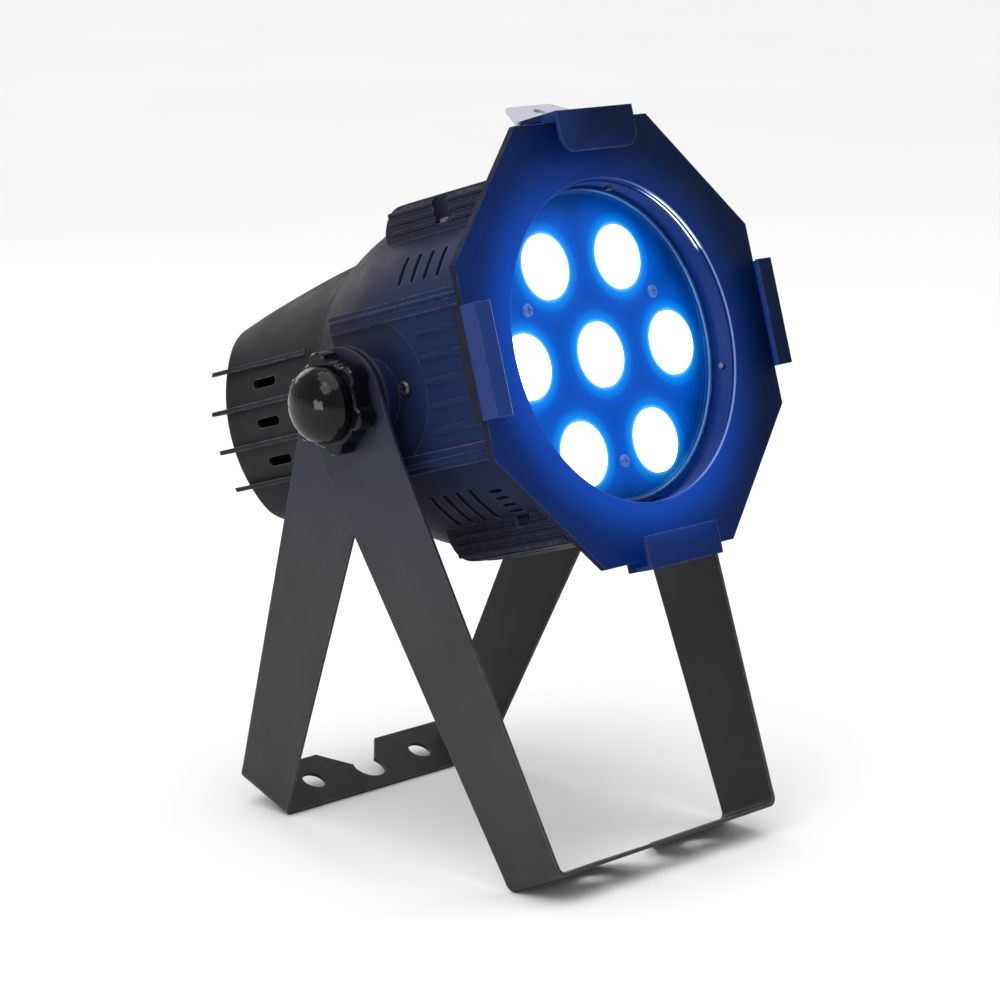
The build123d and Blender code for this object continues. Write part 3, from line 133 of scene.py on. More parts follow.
class Nodes:
    """A material's node tree, with short calls for the nodes used here."""

    def __init__(self, name):
        self.material = bpy.data.materials.new(name)
        self.material.use_nodes = True
        self.tree = self.material.node_tree
        self.shader = self.tree.nodes["Principled BSDF"]
        self.coords = self.tree.nodes.new("ShaderNodeTexCoord").outputs["Object"]

    def link(self, source, target):
        self.tree.links.new(source, target)

    def put(self, value, socket):
        """Sets a socket to a number or links it to an output."""
        if isinstance(value, bpy.types.NodeSocket):
            self.link(value, socket)
        else:
            socket.default_value = value

    def noise(self, scale, detail=3.0, roughness=0.5, vector=None):
        node = self.tree.nodes.new("ShaderNodeTexNoise")
        node.inputs["Scale"].default_value = scale
        node.inputs["Detail"].default_value = detail
        node.inputs["Roughness"].default_value = roughness
        self.link(vector or self.coords, node.inputs["Vector"])
        return node.outputs["Fac"]

    def math(self, operation, a, b=0.0, c=0.0):
        node = self.tree.nodes.new("ShaderNodeMath")
        node.operation = operation
        for value, socket in zip((a, b, c), node.inputs):
            self.put(value, socket)
        return node.outputs[0]

    def ramp(self, value, low, high, out_low=0.0, out_high=1.0, smooth=True):
        node = self.tree.nodes.new("ShaderNodeMapRange")
        node.interpolation_type = "SMOOTHSTEP" if smooth else "LINEAR"
        sources = (value, low, high, out_low, out_high)
        keys = ("Value", "From Min", "From Max", "To Min", "To Max")
        for source, key in zip(sources, keys):
            self.put(source, node.inputs[key])
        return node.outputs["Result"]

    def colours(self, value, stops):
        """Colour ramp from (place, colour) stops."""
        node = self.tree.nodes.new("ShaderNodeValToRGB")
        elements = node.color_ramp.elements
        for index, (place, colour) in enumerate(stops):
            element = elements[index] if index < 2 else elements.new(place)
            element.position = place
            element.color = (*colour, 1)
        self.link(value, node.inputs["Fac"])
        return node.outputs["Color"]

    def mix(self, factor, a, b):
        node = self.tree.nodes.new("ShaderNodeMix")
        node.data_type = "RGBA"
        self.put(factor, node.inputs["Factor"])
        for value, key in ((a, MIX_A), (b, MIX_B)):
            self.put(opaque(value), node.inputs[key])
        return node.outputs[MIX_RESULT]

    def bump(self, height, distance, strength=1.0, radius=None):
        """Bump from a height field in metres of depth, on rounded edges where radius is given."""
        node = self.tree.nodes.new("ShaderNodeBump")
        node.inputs["Strength"].default_value = strength
        node.inputs["Distance"].default_value = distance
        self.link(height, node.inputs["Height"])
        if radius:
            bevel = self.tree.nodes.new("ShaderNodeBevel")
            bevel.samples = BEVEL_SAMPLES
            bevel.inputs["Radius"].default_value = radius
            self.link(bevel.outputs["Normal"], node.inputs["Normal"])
        self.link(node.outputs["Normal"], self.shader.inputs["Normal"])

    def edges(self, radius):
        """One on sharp edges and nought on flat faces."""
        bevel = self.tree.nodes.new("ShaderNodeBevel")
        bevel.samples = BEVEL_SAMPLES
        bevel.inputs["Radius"].default_value = radius
        geometry = self.tree.nodes.new("ShaderNodeNewGeometry")
        dot = self.tree.nodes.new("ShaderNodeVectorMath")
        dot.operation = "DOT_PRODUCT"
        self.link(bevel.outputs["Normal"], dot.inputs[0])
        self.link(geometry.outputs["Normal"], dot.inputs[1])
        flat, sharp = 0.985, 0.86
        return self.ramp(dot.outputs["Value"], flat, sharp)

    def head(self):
        """Coordinates in the head's own frame."""
        node = self.tree.nodes.new("ShaderNodeMapping")
        turn = HEAD.inverted()
        node.inputs["Location"].default_value = turn.to_translation()
        node.inputs["Rotation"].default_value = turn.to_euler()
        self.link(self.coords, node.inputs["Vector"])
        return node.outputs["Vector"]

    def head_normal(self):
        """Surface normal in the head's own frame."""
        geometry = self.tree.nodes.new("ShaderNodeNewGeometry")
        local = self.tree.nodes.new("ShaderNodeVectorTransform")
        local.vector_type = "NORMAL"
        local.convert_from = "WORLD"
        local.convert_to = "OBJECT"
        self.link(geometry.outputs["Normal"], local.inputs[0])
        turn = self.tree.nodes.new("ShaderNodeMapping")
        turn.vector_type = "VECTOR"
        turn.inputs["Rotation"].default_value = HEAD.inverted().to_euler()
        self.link(local.outputs[0], turn.inputs["Vector"])
        return turn.outputs["Vector"]

    def facing_axis(self, head, radius):
        """One where a face looks at the beam's axis, nought where it looks along or away."""
        place = self.parts(head)
        normal = self.parts(self.head_normal())
        up = self.math("SUBTRACT", place["Z"], OPTICS_LIFT)
        upward = self.math("MULTIPLY", up, normal["Z"])
        dot = self.math("MULTIPLY_ADD", place["X"], normal["X"], upward)
        askew, facing = -0.45, -0.85
        return self.ramp(self.math("DIVIDE", dot, radius), askew, facing)

    def parts(self, vector):
        node = self.tree.nodes.new("ShaderNodeSeparateXYZ")
        self.link(vector, node.inputs[0])
        return node.outputs

    def axis_distance(self, head, x=0.0, z=OPTICS_LIFT):
        """Distance from a line along the beam, in metres."""
        place = self.parts(head)
        across = self.math("SUBTRACT", place["X"], x)
        upward = self.math("SUBTRACT", place["Z"], z)
        squares = self.math("MULTIPLY_ADD", across, across, self.math("MULTIPLY", upward, upward))
        return self.math("SQRT", squares)

    def lens_distance(self, head):
        """Distance from the nearest lens centre, in metres."""
        nearest = 1.0  # farther than any lens
        for x, z in lens_places():
            nearest = self.math("MINIMUM", nearest, self.axis_distance(head, x, z))
        return nearest

    def glow(self, colour, strength):
        self.put(opaque(colour), self.shader.inputs["Emission Color"])
        self.put(strength, self.shader.inputs["Emission Strength"])

    def base(self, colour):
        self.put(opaque(colour), self.shader.inputs["Base Color"])

    def coat(self):
        """The colour that the shader's base has so far."""
        return self.shader.inputs["Base Color"].links[0].from_socket

    def rough(self, value):
        self.link(value, self.shader.inputs["Roughness"])

    def mottled(self, scale, dark, light, *, detail=3.0):
        """Colour that wanders between two shades."""
        return self.mix(self.ramp(self.noise(scale, detail), 0.3, 0.7), dark, light)


def opaque(colour):
    """A socket as it is, or a colour with full alpha."""
    return colour if isinstance(colour, bpy.types.NodeSocket) else (*colour, 1)


def lens_places():
    """Centre and ring of the seven lenses in the head's frame, as (x, z)."""
    turns = [FULL_TURN * i / OUTER_LENSES for i in range(OUTER_LENSES)]
    ring = [(LENS_RING * cos(turn), LENS_LIFT + LENS_RING * sin(turn)) for turn in turns]
    return [(0.0, LENS_LIFT)] + ring


# ---------------------------------------------------------------- materials
BARREL_REAR_Y = 34 * MM
BARREL_FRONT_Y = -50 * MM
BARREL_LEVEL_Z = 20 * MM
BARREL_STEEP_Z = 74 * MM
WEAR_AND_HIGHLIGHT_SHARE = 0.60
WEAR_AND_HIGHLIGHT_COLOUR = (0.20, 0.20, 0.225)
PEEL_DEPTH = 0.12 * MM
LENS_LIGHT_FADE_R = 32 * MM  # where the lenses' painted light has faded, from the nearest centre
CREST_GLOW = 0.60
FACET_WAVES = 9000.0  # radians a metre
SHADE_NEAR = 20 * MM
SHADE_FAR = 95 * MM


def shaded(colour, factor):
    """Colour made darker or lighter."""
    return [channel * factor for channel in colour]


def powder_coat(name, colour, beam_light_colour=None, roughness=0.42, grain=1.0, specular=0.25):
    """Fine orange-peel powder coat with faint handling marks, its scuffed edges lightened as wear and as a
    painted edge highlight; where a beam light colour is given, painted beam light on the front.
    """
    n = Nodes(name)
    base = n.mottled(18, shaded(colour, 0.86), shaded(colour, 1.14), detail=4)
    # Painted blue beam light on the front of the barrel, less on its top and bottom.
    if beam_light_colour:
        place = n.parts(n.head())
        forward = n.ramp(place["Y"], BARREL_REAR_Y, BARREL_FRONT_Y)
        level = n.ramp(n.math("ABSOLUTE", place["Z"]), BARREL_LEVEL_Z, BARREL_STEEP_Z, 1.0, 0.30)
        base = n.mix(n.math("MULTIPLY", forward, level), base, beam_light_colour)
    # Sharp edges lightened and broken up by noise: partly wear, partly a painted edge highlight.
    edge_patchiness = n.ramp(n.noise(240, 5), 0.35, 0.65, 0.25, 1.0)
    wear_and_highlight = n.math("MULTIPLY", n.edges(0.8 * MM), edge_patchiness)
    n.base(n.mix(n.math("MULTIPLY", wear_and_highlight, WEAR_AND_HIGHLIGHT_SHARE), base, WEAR_AND_HIGHLIGHT_COLOUR))
    smudge = n.noise(55, 5, 0.6)
    n.rough(n.ramp(smudge, 0.25, 0.75, roughness - 0.07, roughness + 0.1))
    n.shader.inputs["Specular IOR Level"].default_value = specular
    fine = n.math("MULTIPLY", n.noise(2600, 2), 0.3)
    peel = n.math("MULTIPLY_ADD", n.noise(900, 2), 0.7, fine)
    n.bump(peel, PEEL_DEPTH * grain, 0.55, radius=0.5 * MM)
    return n


def body_paint():
    """Charcoal coat of the castings, with painted blue beam light on the front of the barrel and painted
    beam light glowing in its bore.
    """
    charcoal, painted_beam_light = (0.0185, 0.0185, 0.0215), (0.0095, 0.019, 0.075)
    n = powder_coat("body_paint", charcoal, painted_beam_light, roughness=0.48, specular=0.07)
    head = n.head()
    radius = n.axis_distance(head)
    deep = n.ramp(n.parts(head)["Y"], BORE_START_Y, BORE_FULL_Y)
    inside = n.math("MULTIPLY", n.facing_axis(head, radius), deep)
    n.glow((0.004, 0.10, 0.75), n.math("MULTIPLY", inside, BORE_GLOW))
    return n.material


def bracket_paint():
    """Grey coat of the brackets, with painted bluish shade beside the barrel."""
    n = powder_coat("bracket_paint", (0.0245, 0.0245, 0.0275), roughness=0.47)
    # Painted shade, darker and bluer near the pivot's height, fading with height above and below it.
    height = n.math("SUBTRACT", n.parts(n.coords)["Z"], PIVOT.z)
    near = n.ramp(n.math("ABSOLUTE", height), SHADE_NEAR, SHADE_FAR, 1.0, 0.0)
    n.base(n.mix(n.math("MULTIPLY", near, 0.6), n.coat(), (0.009, 0.013, 0.036)))
    return n.material


def frame_paint():
    """Black frame, holder and clips, with painted blue haze of the beam near the opening, painted highlights
    on edges and lips, and a painted reflection on the top tab.
    """
    n = powder_coat("frame_paint", (0.0012, 0.004, 0.012), roughness=0.6, specular=0.05)
    head = n.head()
    place = n.parts(head)
    radius = n.axis_distance(head)
    # Painted light by facing: faces that look forward keep the blue-black coat, bluer from painted beam
    # light; other faces take a lighter dark grey.
    forward = n.ramp(n.parts(n.head_normal())["Y"], -0.2, -0.9)
    # Painted reflection of the white surroundings: the top face of the tab turns light grey.
    raised = n.ramp(place["Z"], TAB_LOW_Z, TAB_HIGH_Z)
    tab = n.math("MULTIPLY", n.ramp(place["Y"], TAB_FRONT_Y, TAB_BACK_Y), raised)
    coat = n.mix(forward, (0.012, 0.014, 0.026), n.coat())
    n.base(n.mix(tab, coat, (0.46, 0.46, 0.52)))

    # Haze on the faces that look forward: strongest round the opening, at the lower left.
    across = n.math("MULTIPLY_ADD", place["Z"], 0.8, place["X"])
    around = n.ramp(across, 75 * MM, -30 * MM, 0.30, 1.0)
    close = n.math("POWER", n.ramp(radius, OPENING_R, HAZE_R, 1.0, 0.0), 1.3)
    near = n.math("MULTIPLY", around, close)
    leftward = n.math("MULTIPLY_ADD", place["Z"], 0.55, place["X"])
    left = n.ramp(leftward, 85 * MM, -75 * MM)
    far = n.math("MULTIPLY_ADD", left, HAZE_LEFT, HAZE_FLOOR)
    haze = n.math("MULTIPLY", n.math("MULTIPLY_ADD", near, HAZE_GLOW, far), forward)

    # Painted beam light in the bore of the holder, its painted crescent of reflected light and a painted
    # highlight on the rim's fine edge.
    inward = n.facing_axis(head, radius)
    mouth = n.math("MULTIPLY", inward, n.ramp(place["Y"], HOLDER_START_Y, HOLDER_FULL_Y))
    angle = n.math("ARCTAN2", place["Z"], place["X"])
    upper = n.math("MULTIPLY", n.ramp(angle, 0.50, 0.56), n.ramp(angle, 1.20, 0.95))
    right = n.ramp(place["X"], 0.0, 45 * MM)
    ahead = n.ramp(place["Y"], RIM_FRONT_Y + 0.5 * MM, RIM_FRONT_Y)
    rim = n.math("MULTIPLY", ahead, n.ramp(radius, 71.5 * MM, 70.8 * MM))
    crescent = n.math("MULTIPLY", n.math("MULTIPLY", upper, rim), inward)
    foremost = n.ramp(place["Y"], FRAME_FRONT_Y + 0.3 * MM, FRAME_FRONT_Y)
    edge = n.math("MULTIPLY", foremost, n.math("MULTIPLY", rim, right))

    # Painted beam light on the lips of the clips, and a painted highlight on the free edge of the left one.
    lips = n.ramp(place["Y"], CLIP_FRONT_Y + 0.6 * MM, CLIP_FRONT_Y)
    clip_edge = n.math("MULTIPLY", lips, n.ramp(radius, 80 * MM, 82 * MM))
    clips = n.math("MULTIPLY", clip_edge, n.ramp(place["X"], 20 * MM, -60 * MM, 0.10, 1.0))
    left_lip = n.math("MULTIPLY", clip_edge, n.ramp(place["X"], -60 * MM, -80 * MM))
    free_edge = n.math("MULTIPLY", left_lip, n.ramp(place["X"], -88.0 * MM, -87.6 * MM))

    lit = n.math("MAXIMUM", n.math("MULTIPLY", mouth, BORE_GLOW), haze)
    lit = n.math("MAXIMUM", lit, n.math("MULTIPLY", clips, CLIP_GLOW))
    lit = n.math("MAXIMUM", lit, n.math("MULTIPLY", free_edge, CLIP_EDGE_GLOW))
    tint = n.mix(mouth, BEAM_BLUE, (0.01, 0.16, 0.95))
    tint = n.mix(clips, tint, (0.07, 0.22, 1.0))
    tint = n.mix(free_edge, tint, (0.40, 0.55, 1.0))
    shine = n.math("MAXIMUM", crescent, n.math("MULTIPLY", edge, 0.5))
    tint = n.mix(shine, tint, (0.72, 0.86, 1.0))
    edge_light = n.math("MULTIPLY", edge, RIM_GLOW)
    bright = n.math("MAXIMUM", n.math("MULTIPLY", crescent, CRESCENT_GLOW), edge_light)
    n.glow(tint, n.math("ADD", lit, bright))
    return n.material


def lens_plate():
    """Satin plate round the lenses, with painted blue light from them glowing on it and a painted highlight
    on the crest of its outer lip.
    """
    n = powder_coat("lens_plate", (0.0, 0.004, 0.02), roughness=0.34, grain=0.6, specular=0.04)
    head = n.head()
    radius = n.axis_distance(head)
    lens_light_stops = [
        (0.0, (0.16, 0.60, 1.0)),
        (0.10, (0.0, 0.27, 0.95)),
        (0.34, (0.0, 0.095, 0.58)),
        (1.0, (0.0, 0.055, 0.33)),
    ]
    colour = n.colours(n.ramp(n.lens_distance(head), LENS_R, LENS_LIGHT_FADE_R, smooth=False), lens_light_stops)
    place = n.parts(head)
    # Painted highlight on the crest of the outer lip, stronger towards +X and broken by noise; the painted
    # light fades outwards and is weaker on the outermost face.
    outer = n.ramp(radius, 66.4 * MM, 66.7 * MM)
    lip = n.math("MULTIPLY", outer, n.ramp(place["Y"], -69.3 * MM, -69.7 * MM))
    outermost = n.ramp(radius, 67.8 * MM, 68.0 * MM)
    face = n.math("MULTIPLY", outermost, n.ramp(place["Y"], -70.0 * MM, -70.4 * MM))
    side = n.ramp(place["X"], -20 * MM, 30 * MM, 0.15, 1.0)
    broken = n.ramp(n.noise(35, 2), 0.3, 0.7, 0.6, 1.0)
    crest = n.math("MULTIPLY", n.math("MULTIPLY", lip, side), broken)
    crest = n.math("MULTIPLY", crest, n.math("SUBTRACT", 1.0, face))
    fading = n.ramp(radius, 54 * MM, 70 * MM, 1.0, 0.42)
    edge = n.math("MULTIPLY", fading, n.ramp(face, 0.0, 1.0, 1.0, 0.40))
    strength = n.math("MAXIMUM", edge, n.math("MULTIPLY", crest, CREST_GLOW))
    n.glow(n.mix(crest, colour, (0.14, 0.46, 0.95)), strength)
    return n.material


def lit_lens():
    """Moulded collimator face: white heart, bluer at the rim, with fine concentric facets."""
    n = Nodes("lit_lens")
    head = n.head()
    near = n.lens_distance(head)
    across = [
        (0.0, WHITE),
        (0.55, (0.93, 0.98, 1.0)),
        (0.85, (0.55, 0.85, 1.0)),
        (1.0, (0.15, 0.5, 1.0)),
    ]
    colour = n.colours(n.ramp(near, LENS_R * 0.70, LENS_R * 1.02, smooth=False), across)
    front = n.ramp(n.parts(head)["Y"], LENS_BACK_Y, LENS_FRONT_Y)
    n.glow(colour, n.math("MULTIPLY_ADD", front, LENS_GLOW, LENS_SIDE_GLOW))
    n.base((0.85, 0.93, 1.0))
    n.shader.inputs["Roughness"].default_value = 0.12
    facets = n.math("SINE", n.math("MULTIPLY", near, FACET_WAVES))
    n.bump(facets, 0.05 * MM, 0.4)
    return n.material


def emitter():
    """Lit face of a light source."""
    n = Nodes("led_emitter")
    n.glow(n.mottled(900, (0.5, 0.7, 1.0), (0.8, 0.9, 1.0)), EMITTER_GLOW)
    n.base((0.8, 0.75, 0.4))
    return n.material


def moulded(name, colour, roughness, scale=700, depth=0.06 * MM):
    """Moulded plastic with a fine spark-eroded grain."""
    n = Nodes(name)
    n.base(n.mottled(30, shaded(colour, 0.85), shaded(colour, 1.15)))
    n.rough(n.ramp(n.noise(70, 4), 0.3, 0.7, roughness * 0.85, roughness * 1.2))
    n.bump(n.noise(scale, 3), depth, 0.5, radius=0.3 * MM)
    return n.material


def glossy_knob():
    """Glossy black moulding with faint swirl scratches."""
    n = Nodes("glossy_knob")
    n.base(n.mottled(40, (0.002, 0.002, 0.003), (0.004, 0.004, 0.006)))
    n.rough(n.ramp(n.noise(130, 6, 0.7), 0.35, 0.75, 0.05, 0.11))
    n.shader.inputs["Specular IOR Level"].default_value = 0.22
    n.bump(n.noise(160, 2), 0.04 * MM, 0.2, radius=0.6 * MM)
    return n.material


def metal(name, colour, roughness, grain=(1, 1, 1), scale=400):
    """Plated or bare metal, brushed along one axis where grain is stretched."""
    n = Nodes(name)
    stretch = n.tree.nodes.new("ShaderNodeMapping")
    stretch.inputs["Scale"].default_value = grain
    n.link(n.coords, stretch.inputs["Vector"])
    lines = n.noise(scale, 4, 0.6, stretch.outputs["Vector"])
    n.base(n.mix(n.ramp(lines, 0.3, 0.7), shaded(colour, 0.8), colour))
    n.rough(n.ramp(lines, 0.3, 0.7, roughness * 0.75, roughness * 1.25))
    n.shader.inputs["Metallic"].default_value = 1.0
    n.bump(lines, 0.03 * MM, 0.5, radius=0.2 * MM)
    return n.material


def black_screw():
    """Blackened steel; the screws among the lenses glow with painted blue light from them."""
    n = Nodes("black_screw")
    grain = n.noise(500, 4, 0.6)
    n.base(n.mix(n.ramp(grain, 0.3, 0.7), (0.07, 0.07, 0.08), (0.12, 0.12, 0.14)))
    n.rough(n.ramp(grain, 0.3, 0.7, 0.32, 0.5))
    n.shader.inputs["Metallic"].default_value = 0.8
    head = n.head()
    deep = n.ramp(n.parts(head)["Y"], BORE_START_Y, BORE_FULL_Y)
    among = n.ramp(n.axis_distance(head), 64 * MM, 60 * MM)
    lens_lit_share = n.math("MULTIPLY", deep, among)
    n.glow((0.015, 0.16, 0.72), n.math("MULTIPLY", lens_lit_share, SCREW_GLOW))
    n.bump(grain, 0.03 * MM, 0.4, radius=0.2 * MM)
    return n.material


def circuit_board():
    """Solder mask over copper traces."""
    n = Nodes("circuit_board")
    brick = n.tree.nodes.new("ShaderNodeTexBrick")
    brick.inputs["Scale"].default_value = 220
    n.link(n.coords, brick.inputs["Vector"])
    n.base(n.mix(brick.outputs["Fac"], (0.006, 0.06, 0.025), (0.012, 0.11, 0.045)))
    n.rough(n.ramp(n.noise(300), 0.3, 0.7, 0.3, 0.5))
    n.bump(brick.outputs["Fac"], 0.04 * MM, 0.5)
    return n.material


def smoked_window():
    """Dark glossy window of the display."""
    n = Nodes("smoked_window")
    n.base(n.mottled(50, (0.012, 0.006, 0.006), (0.02, 0.01, 0.01)))
    n.rough(n.ramp(n.noise(200, 4), 0.3, 0.7, 0.05, 0.12))
    n.shader.inputs["Coat Weight"].default_value = 0.5
    n.bump(n.noise(90, 2), 0.02 * MM, 0.3)
    return n.material


def lit_segments():
    """Red light of the display's digits."""
    n = Nodes("lit_segments")
    n.base((0.3, 0.01, 0.01))
    n.glow(n.mottled(900, (1.0, 0.05, 0.02), (1.0, 0.1, 0.04)), DIGIT_GLOW)
    return n.material


SLOT_MATERIALS = {
    "body_paint": body_paint,
    "bracket_paint": bracket_paint,
    "frame_paint": frame_paint,
    "lens_plate": lens_plate,
    "lens": lit_lens,
    "led": emitter,
    "lens_holder": lambda: moulded("lens_holder", (0.02, 0.02, 0.022), 0.5),
    "board": circuit_board,
    "aluminium": lambda: metal("aluminium", (0.62, 0.62, 0.64), 0.38, (1, 1, 12)),
    "black_plastic": lambda: moulded("black_plastic", (0.018, 0.018, 0.019), 0.5),
    "knob_plastic": glossy_knob,
    "steel": lambda: metal("steel", (0.55, 0.55, 0.57), 0.3, (1, 6, 1)),
    "black_screw": black_screw,
    "fibre": lambda: moulded("fibre", (0.08, 0.07, 0.06), 0.8, 500, 0.2 * MM),
    "window": smoked_window,
    "button": lambda: moulded("button", (0.04, 0.04, 0.045), 0.35),
    "copper": lambda: metal("contacts", (0.85, 0.66, 0.36), 0.25),
    "ferrite": lambda: moulded("ferrite", (0.09, 0.08, 0.08), 0.7),
    "can": lambda: moulded("can", (0.01, 0.016, 0.05), 0.3),
}


def paint_nodes():
    """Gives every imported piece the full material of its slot."""
    made = {slot: maker() for slot, maker in SLOT_MATERIALS.items()}
    for entry in frame["record"]["subparts"]:
        piece = frame["nodes"][entry["node"]]
        for material_slot in piece.material_slots:
            material_slot.material = made[entry["material_slot"]]
    return made


# ---------------------------------------------------------------- small pieces on the rear panel
PANEL_Y = 105.6 * MM
WINDOW_Y = 106.0 * MM
DISPLAY_Z = 29.0 * MM
DISPLAY_TEXT = "d001"
DIGIT_PITCH = 9.4 * MM
DIGIT_HALF_W = 2.6 * MM
DIGIT_HALF_H = 5.0 * MM
SEGMENT_WIDTH = 1.1 * MM
SEGMENT_THICK = 0.1 * MM
SEGMENT_PROUD = 0.05 * MM
SEGMENTS = {"d": "bcdeg", "0": "abcdef", "1": "bc"}
# Each segment's place across and up the digit, and whether it stands upright.
SEGMENT_PLACES = {
    "a": (0, 1, False),
    "b": (1, 0.5, True),
    "c": (1, -0.5, True),
    "d": (0, -1, False),
    "e": (-1, -0.5, True),
    "f": (-1, 0.5, True),
    "g": (0, 0, False),
}
RIM_OPENING = (23.0 * MM, 8.5 * MM)  # half its width and height
RIM_CORNER = 0.4 * MM
RIM_WIDTH = 1.6 * MM
RIM_PROUD = 0.9 * MM
# The rim's section, as shares of its width and height.
RIM_SECTION = ((0, 0), (0, 0.75), (0.15, 1), (0.85, 1), (1, 0.75), (1, 0))
SOCKET_X = (-38.0 * MM, -10.0 * MM)
SOCKET_Z = -19.0 * MM
SOCKET_FLANGE = 1.8 * MM
SOCKET_SCREWS = ((-9.5 * MM, -11.2 * MM), (9.5 * MM, 11.2 * MM))
SCREW_HEAD_R = 2.5 * MM
SCREW_HEAD_HEIGHT = 1.5 * MM
SCREW_STEPS = 48
# The head's section, as shares of its radius and height, and which of its levels are the recess.
SCREW_PROFILE = (
    (1.0, 0.0),
    (1.0, 0.45),
    (0.92, 0.78),
    (0.74, 0.98),
    (0.52, 1.0),
    (0.47, 0.97),
    (0.44, 0.45),
    (0.05, 0.35),
)
RECESS_LEVELS = (5, 6)
RECESS_LOBES = 4
# The latch's outline as (x, z), its outer face and its depth.
LATCH_OUTLINE = ((-13.6, -6.6), (-6.4, -6.6), (-7.4, -4.6), (-12.6, -4.6))
LATCH_PROUD = 3.4 * MM
LATCH_DEPTH = 1.8 * MM
LATCH_ROUND = 0.35 * MM


def add_piece(name, mesh, material, body="head"):
    """Object in the head's own frame, riding on a body."""
    piece = bpy.data.objects.new(name, mesh)
    piece.matrix_world = HEAD
    bpy.context.scene.collection.objects.link(piece)
    mesh.materials.append(material)
    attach(piece, body)


def finish_mesh(name, shape, smooth=True):
    mesh = bpy.data.meshes.new(name)
    shape.normal_update()
    shape.to_mesh(mesh)
    shape.free()
    for polygon in mesh.polygons:
        polygon.use_smooth = smooth
    return mesh


def add_slab(shape, outline, rear, depth):
    """Flat piece from (x, z) points, its outer face at y = rear, its sides depth long."""
    outer = [shape.verts.new((x, rear, z)) for x, z in outline]
    inner = [shape.verts.new((x, rear - depth, z)) for x, z in outline]
    shape.faces.new(outer)
    shape.faces.new(inner[::-1])
    for i in range(len(outer)):
        j = (i + 1) % len(outer)
        shape.faces.new((outer[j], outer[i], inner[i], inner[j]))


def segment_outline(x, z, upright, length, width):
    """Six-sided bar of a seven-segment digit."""
    half, tip = length / 2, width / 2
    straight = half - tip
    points = [
        (-half, 0),
        (-straight, tip),
        (straight, tip),
        (half, 0),
        (straight, -tip),
        (-straight, -tip),
    ]
    if upright:
        points = [(v, u) for u, v in points][::-1]
    return [(x + u, z + v) for u, v in points]


def add_digits(material):
    """Lit digits of the display. The panel is read from behind, so they run towards -X."""
    shape = bmesh.new()
    first = (len(DISPLAY_TEXT) - 1) / 2
    for index, digit in enumerate(DISPLAY_TEXT):
        middle = (first - index) * DIGIT_PITCH
        for key in SEGMENTS[digit]:
            u, v, upright = SEGMENT_PLACES[key]
            length = DIGIT_HALF_H * 0.92 if upright else DIGIT_HALF_W * 1.75
            x, z = middle - u * DIGIT_HALF_W, DISPLAY_Z + v * DIGIT_HALF_H
            outline = segment_outline(x, z, upright, length, SEGMENT_WIDTH)
            add_slab(shape, outline, WINDOW_Y + SEGMENT_PROUD, SEGMENT_THICK)
    bmesh.ops.recalc_face_normals(shape, faces=shape.faces)
    mesh = finish_mesh("display_digits", shape, smooth=False)
    add_piece("display_digits", mesh, material)


def rounded(x, z, half_x, half_z, radius, steps=6):
    """Rounded rectangle as (x, z) points."""
    points = []
    for quarter, (sx, sz) in enumerate(((1, 1), (-1, 1), (-1, -1), (1, -1))):
        for step in range(steps + 1):
            turn = pi / 2 * (quarter + step / steps)
            across = sx * (half_x - radius) + radius * cos(turn)
            upward = sz * (half_z - radius) + radius * sin(turn)
            points.append((x + across, z + upward))
    return points


def join_loops(shape, loops):
    """Faces between closed loops of the same number of points."""
    for near, far in zip(loops, loops[1:]):
        for i in range(len(near)):
            j = (i + 1) % len(near)
            shape.faces.new((near[i], near[j], far[j], far[i]))


def add_display_rim(material):
    """Raised rim with a rounded section round the display's window."""
    shape = bmesh.new()
    half_x, half_z = RIM_OPENING
    loops = []
    for grow, height in RIM_SECTION:
        extra = grow * RIM_WIDTH
        outline = rounded(0, DISPLAY_Z, half_x + extra, half_z + extra, RIM_CORNER + extra)
        y = PANEL_Y + RIM_PROUD * height
        loops.append([shape.verts.new((x, y, z)) for x, z in outline])
    join_loops(shape, loops)
    bmesh.ops.recalc_face_normals(shape, faces=shape.faces)
    add_piece("display_rim", finish_mesh("display_rim", shape), material)


def add_socket_screws(material):
    """Pan heads with a four-lobed driver recess, two on the flange of each signal socket."""
    shape = bmesh.new()
    places = [(x + u, SOCKET_Z + v) for x in SOCKET_X for u, v in SOCKET_SCREWS]
    rear = PANEL_Y + SOCKET_FLANGE
    for x, z in places:
        loops = []
        for level, (reach, rise) in enumerate(SCREW_PROFILE):
            loop = []
            for step in range(SCREW_STEPS):
                turn = FULL_TURN * step / SCREW_STEPS
                lobes = 0.66 + 0.34 * cos(RECESS_LOBES * turn) if level in RECESS_LEVELS else 1.0
                r = SCREW_HEAD_R * reach * lobes
                y = rear + SCREW_HEAD_HEIGHT * rise
                loop.append(shape.verts.new((x + r * cos(turn), y, z + r * sin(turn))))
            loops.append(loop)
        join_loops(shape, loops)
        shape.faces.new(loops[-1])
    bmesh.ops.recalc_face_normals(shape, faces=shape.faces)
    add_piece("socket_screws", finish_mesh("socket_screws", shape), material)


def add_latch(material):
    """Release tab over the signal output."""
    shape = bmesh.new()
    outline = [(x * MM, z * MM) for x, z in LATCH_OUTLINE]
    add_slab(shape, outline, PANEL_Y + LATCH_PROUD, LATCH_DEPTH)
    bmesh.ops.recalc_face_normals(shape, faces=shape.faces)
    edges = list(shape.edges)
    bmesh.ops.bevel(
        shape, geom=edges, offset=LATCH_ROUND, segments=3, profile=0.5, affect="EDGES"
    )
    add_piece("socket_latch", finish_mesh("socket_latch", shape), material)


def add_panel_pieces(made):
    """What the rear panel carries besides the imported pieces."""
    add_digits(lit_segments())
    add_display_rim(made["black_plastic"])
    add_socket_screws(made["black_screw"])
    add_latch(made["steel"])


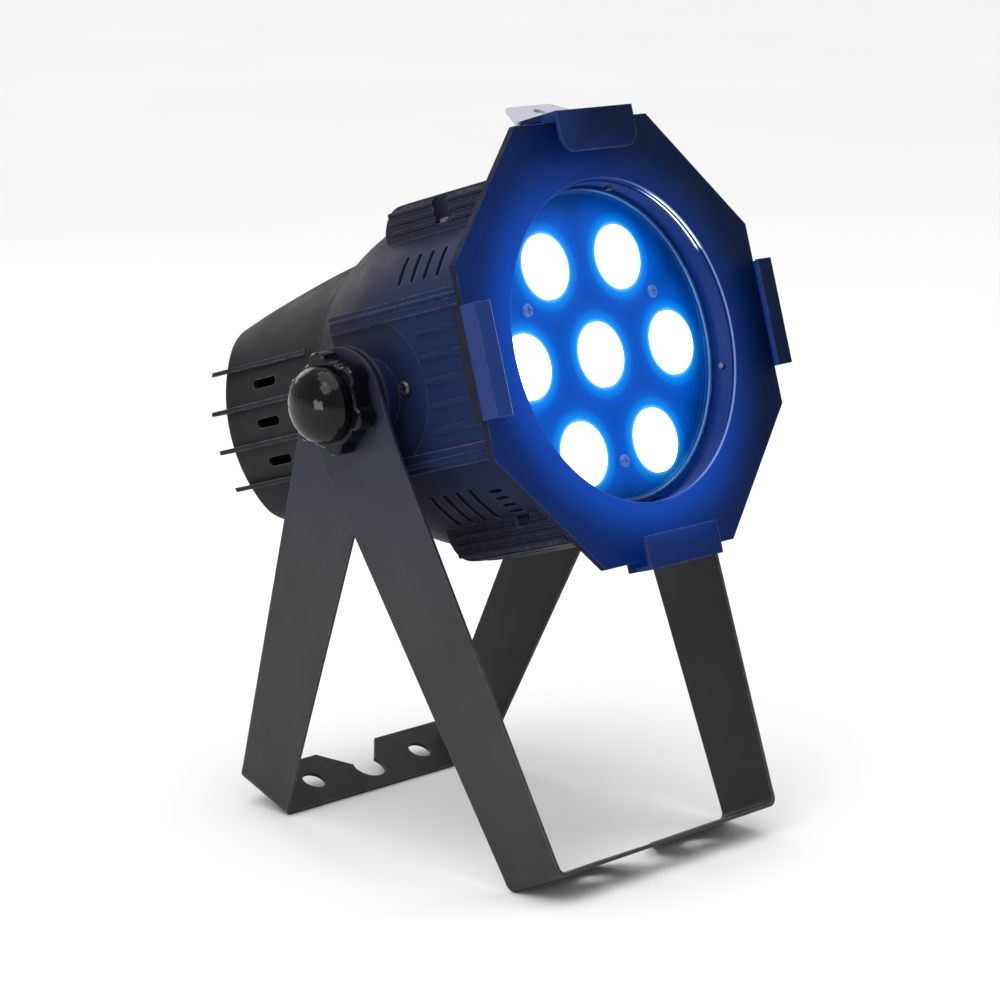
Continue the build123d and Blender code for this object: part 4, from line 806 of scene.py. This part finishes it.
# ---------------------------------------------------------------- stage
STUDIO_FILL = 0.48
FLOOR_HALF = 6.0
SUN_POWER = 1.85
SUN_SPREAD = 70
SUN_TURN = (6, -8)
# Soft lights as name: (place, size, power).
AREA_LIGHTS = {
    "key": ((-1.3, -0.2, 1.2), 0.80, 7),
    "side": ((-1.4, 0.2, 0.12), 0.40, 3.5),
    "fill": ((1.3, -0.7, 0.9), 0.8, 4),
    "back": ((0.2, 1.4, 0.8), 0.8, 5),
}


def make_floor():
    """Pale matt floor."""
    mesh = bpy.data.meshes.new("floor")
    corners = [(-1, -1), (1, -1), (1, 1), (-1, 1)]
    points = [(x * FLOOR_HALF, y * FLOOR_HALF, 0) for x, y in corners]
    mesh.from_pydata(points, [], [(0, 1, 2, 3)])
    floor = bpy.data.objects.new("floor", mesh)
    bpy.context.scene.collection.objects.link(floor)
    n = Nodes("floor")
    n.base(n.mottled(2.0, (0.86, 0.86, 0.86), (0.88, 0.88, 0.88)))
    n.shader.inputs["Roughness"].default_value = 0.9
    mesh.materials.append(n.material)


def make_world():
    """White surroundings that light the part less than they show."""
    world = bpy.data.worlds.new("studio")
    bpy.context.scene.world = world
    world.use_nodes = True
    tree = world.node_tree
    background = tree.nodes["Background"]
    background.inputs["Color"].default_value = (*WHITE, 1)
    seen = tree.nodes.new("ShaderNodeLightPath").outputs["Is Camera Ray"]
    level = tree.nodes.new("ShaderNodeMapRange")
    level.inputs["To Min"].default_value = STUDIO_FILL
    tree.links.new(seen, level.inputs["Value"])
    tree.links.new(level.outputs["Result"], background.inputs["Strength"])


def add_sun():
    """Wide soft light from overhead."""
    data = bpy.data.lights.new("overhead", "SUN")
    data.energy = SUN_POWER
    data.angle = radians(SUN_SPREAD)
    sun = bpy.data.objects.new("overhead", data)
    turn_x, turn_y = SUN_TURN
    sun.rotation_euler = (radians(turn_x), radians(turn_y), 0)
    bpy.context.scene.collection.objects.link(sun)


def add_area(name, place, size, power):
    """Square soft light that looks at the pivot."""
    data = bpy.data.lights.new(name, "AREA")
    data.shape = "SQUARE"
    data.size = size
    data.energy = power
    light = bpy.data.objects.new(name, data)
    light.location = place
    light.rotation_euler = (PIVOT - Vector(place)).to_track_quat("-Z", "Y").to_euler()
    bpy.context.scene.collection.objects.link(light)


def make_stage():
    """Pale floor, white surroundings and soft studio lights."""
    make_floor()
    make_world()
    add_sun()
    for name, (place, size, power) in AREA_LIGHTS.items():
        add_area(name, place, size, power)


make_camera()
add_panel_pieces(paint_nodes())
make_stage()
bpy.context.view_layer.update()
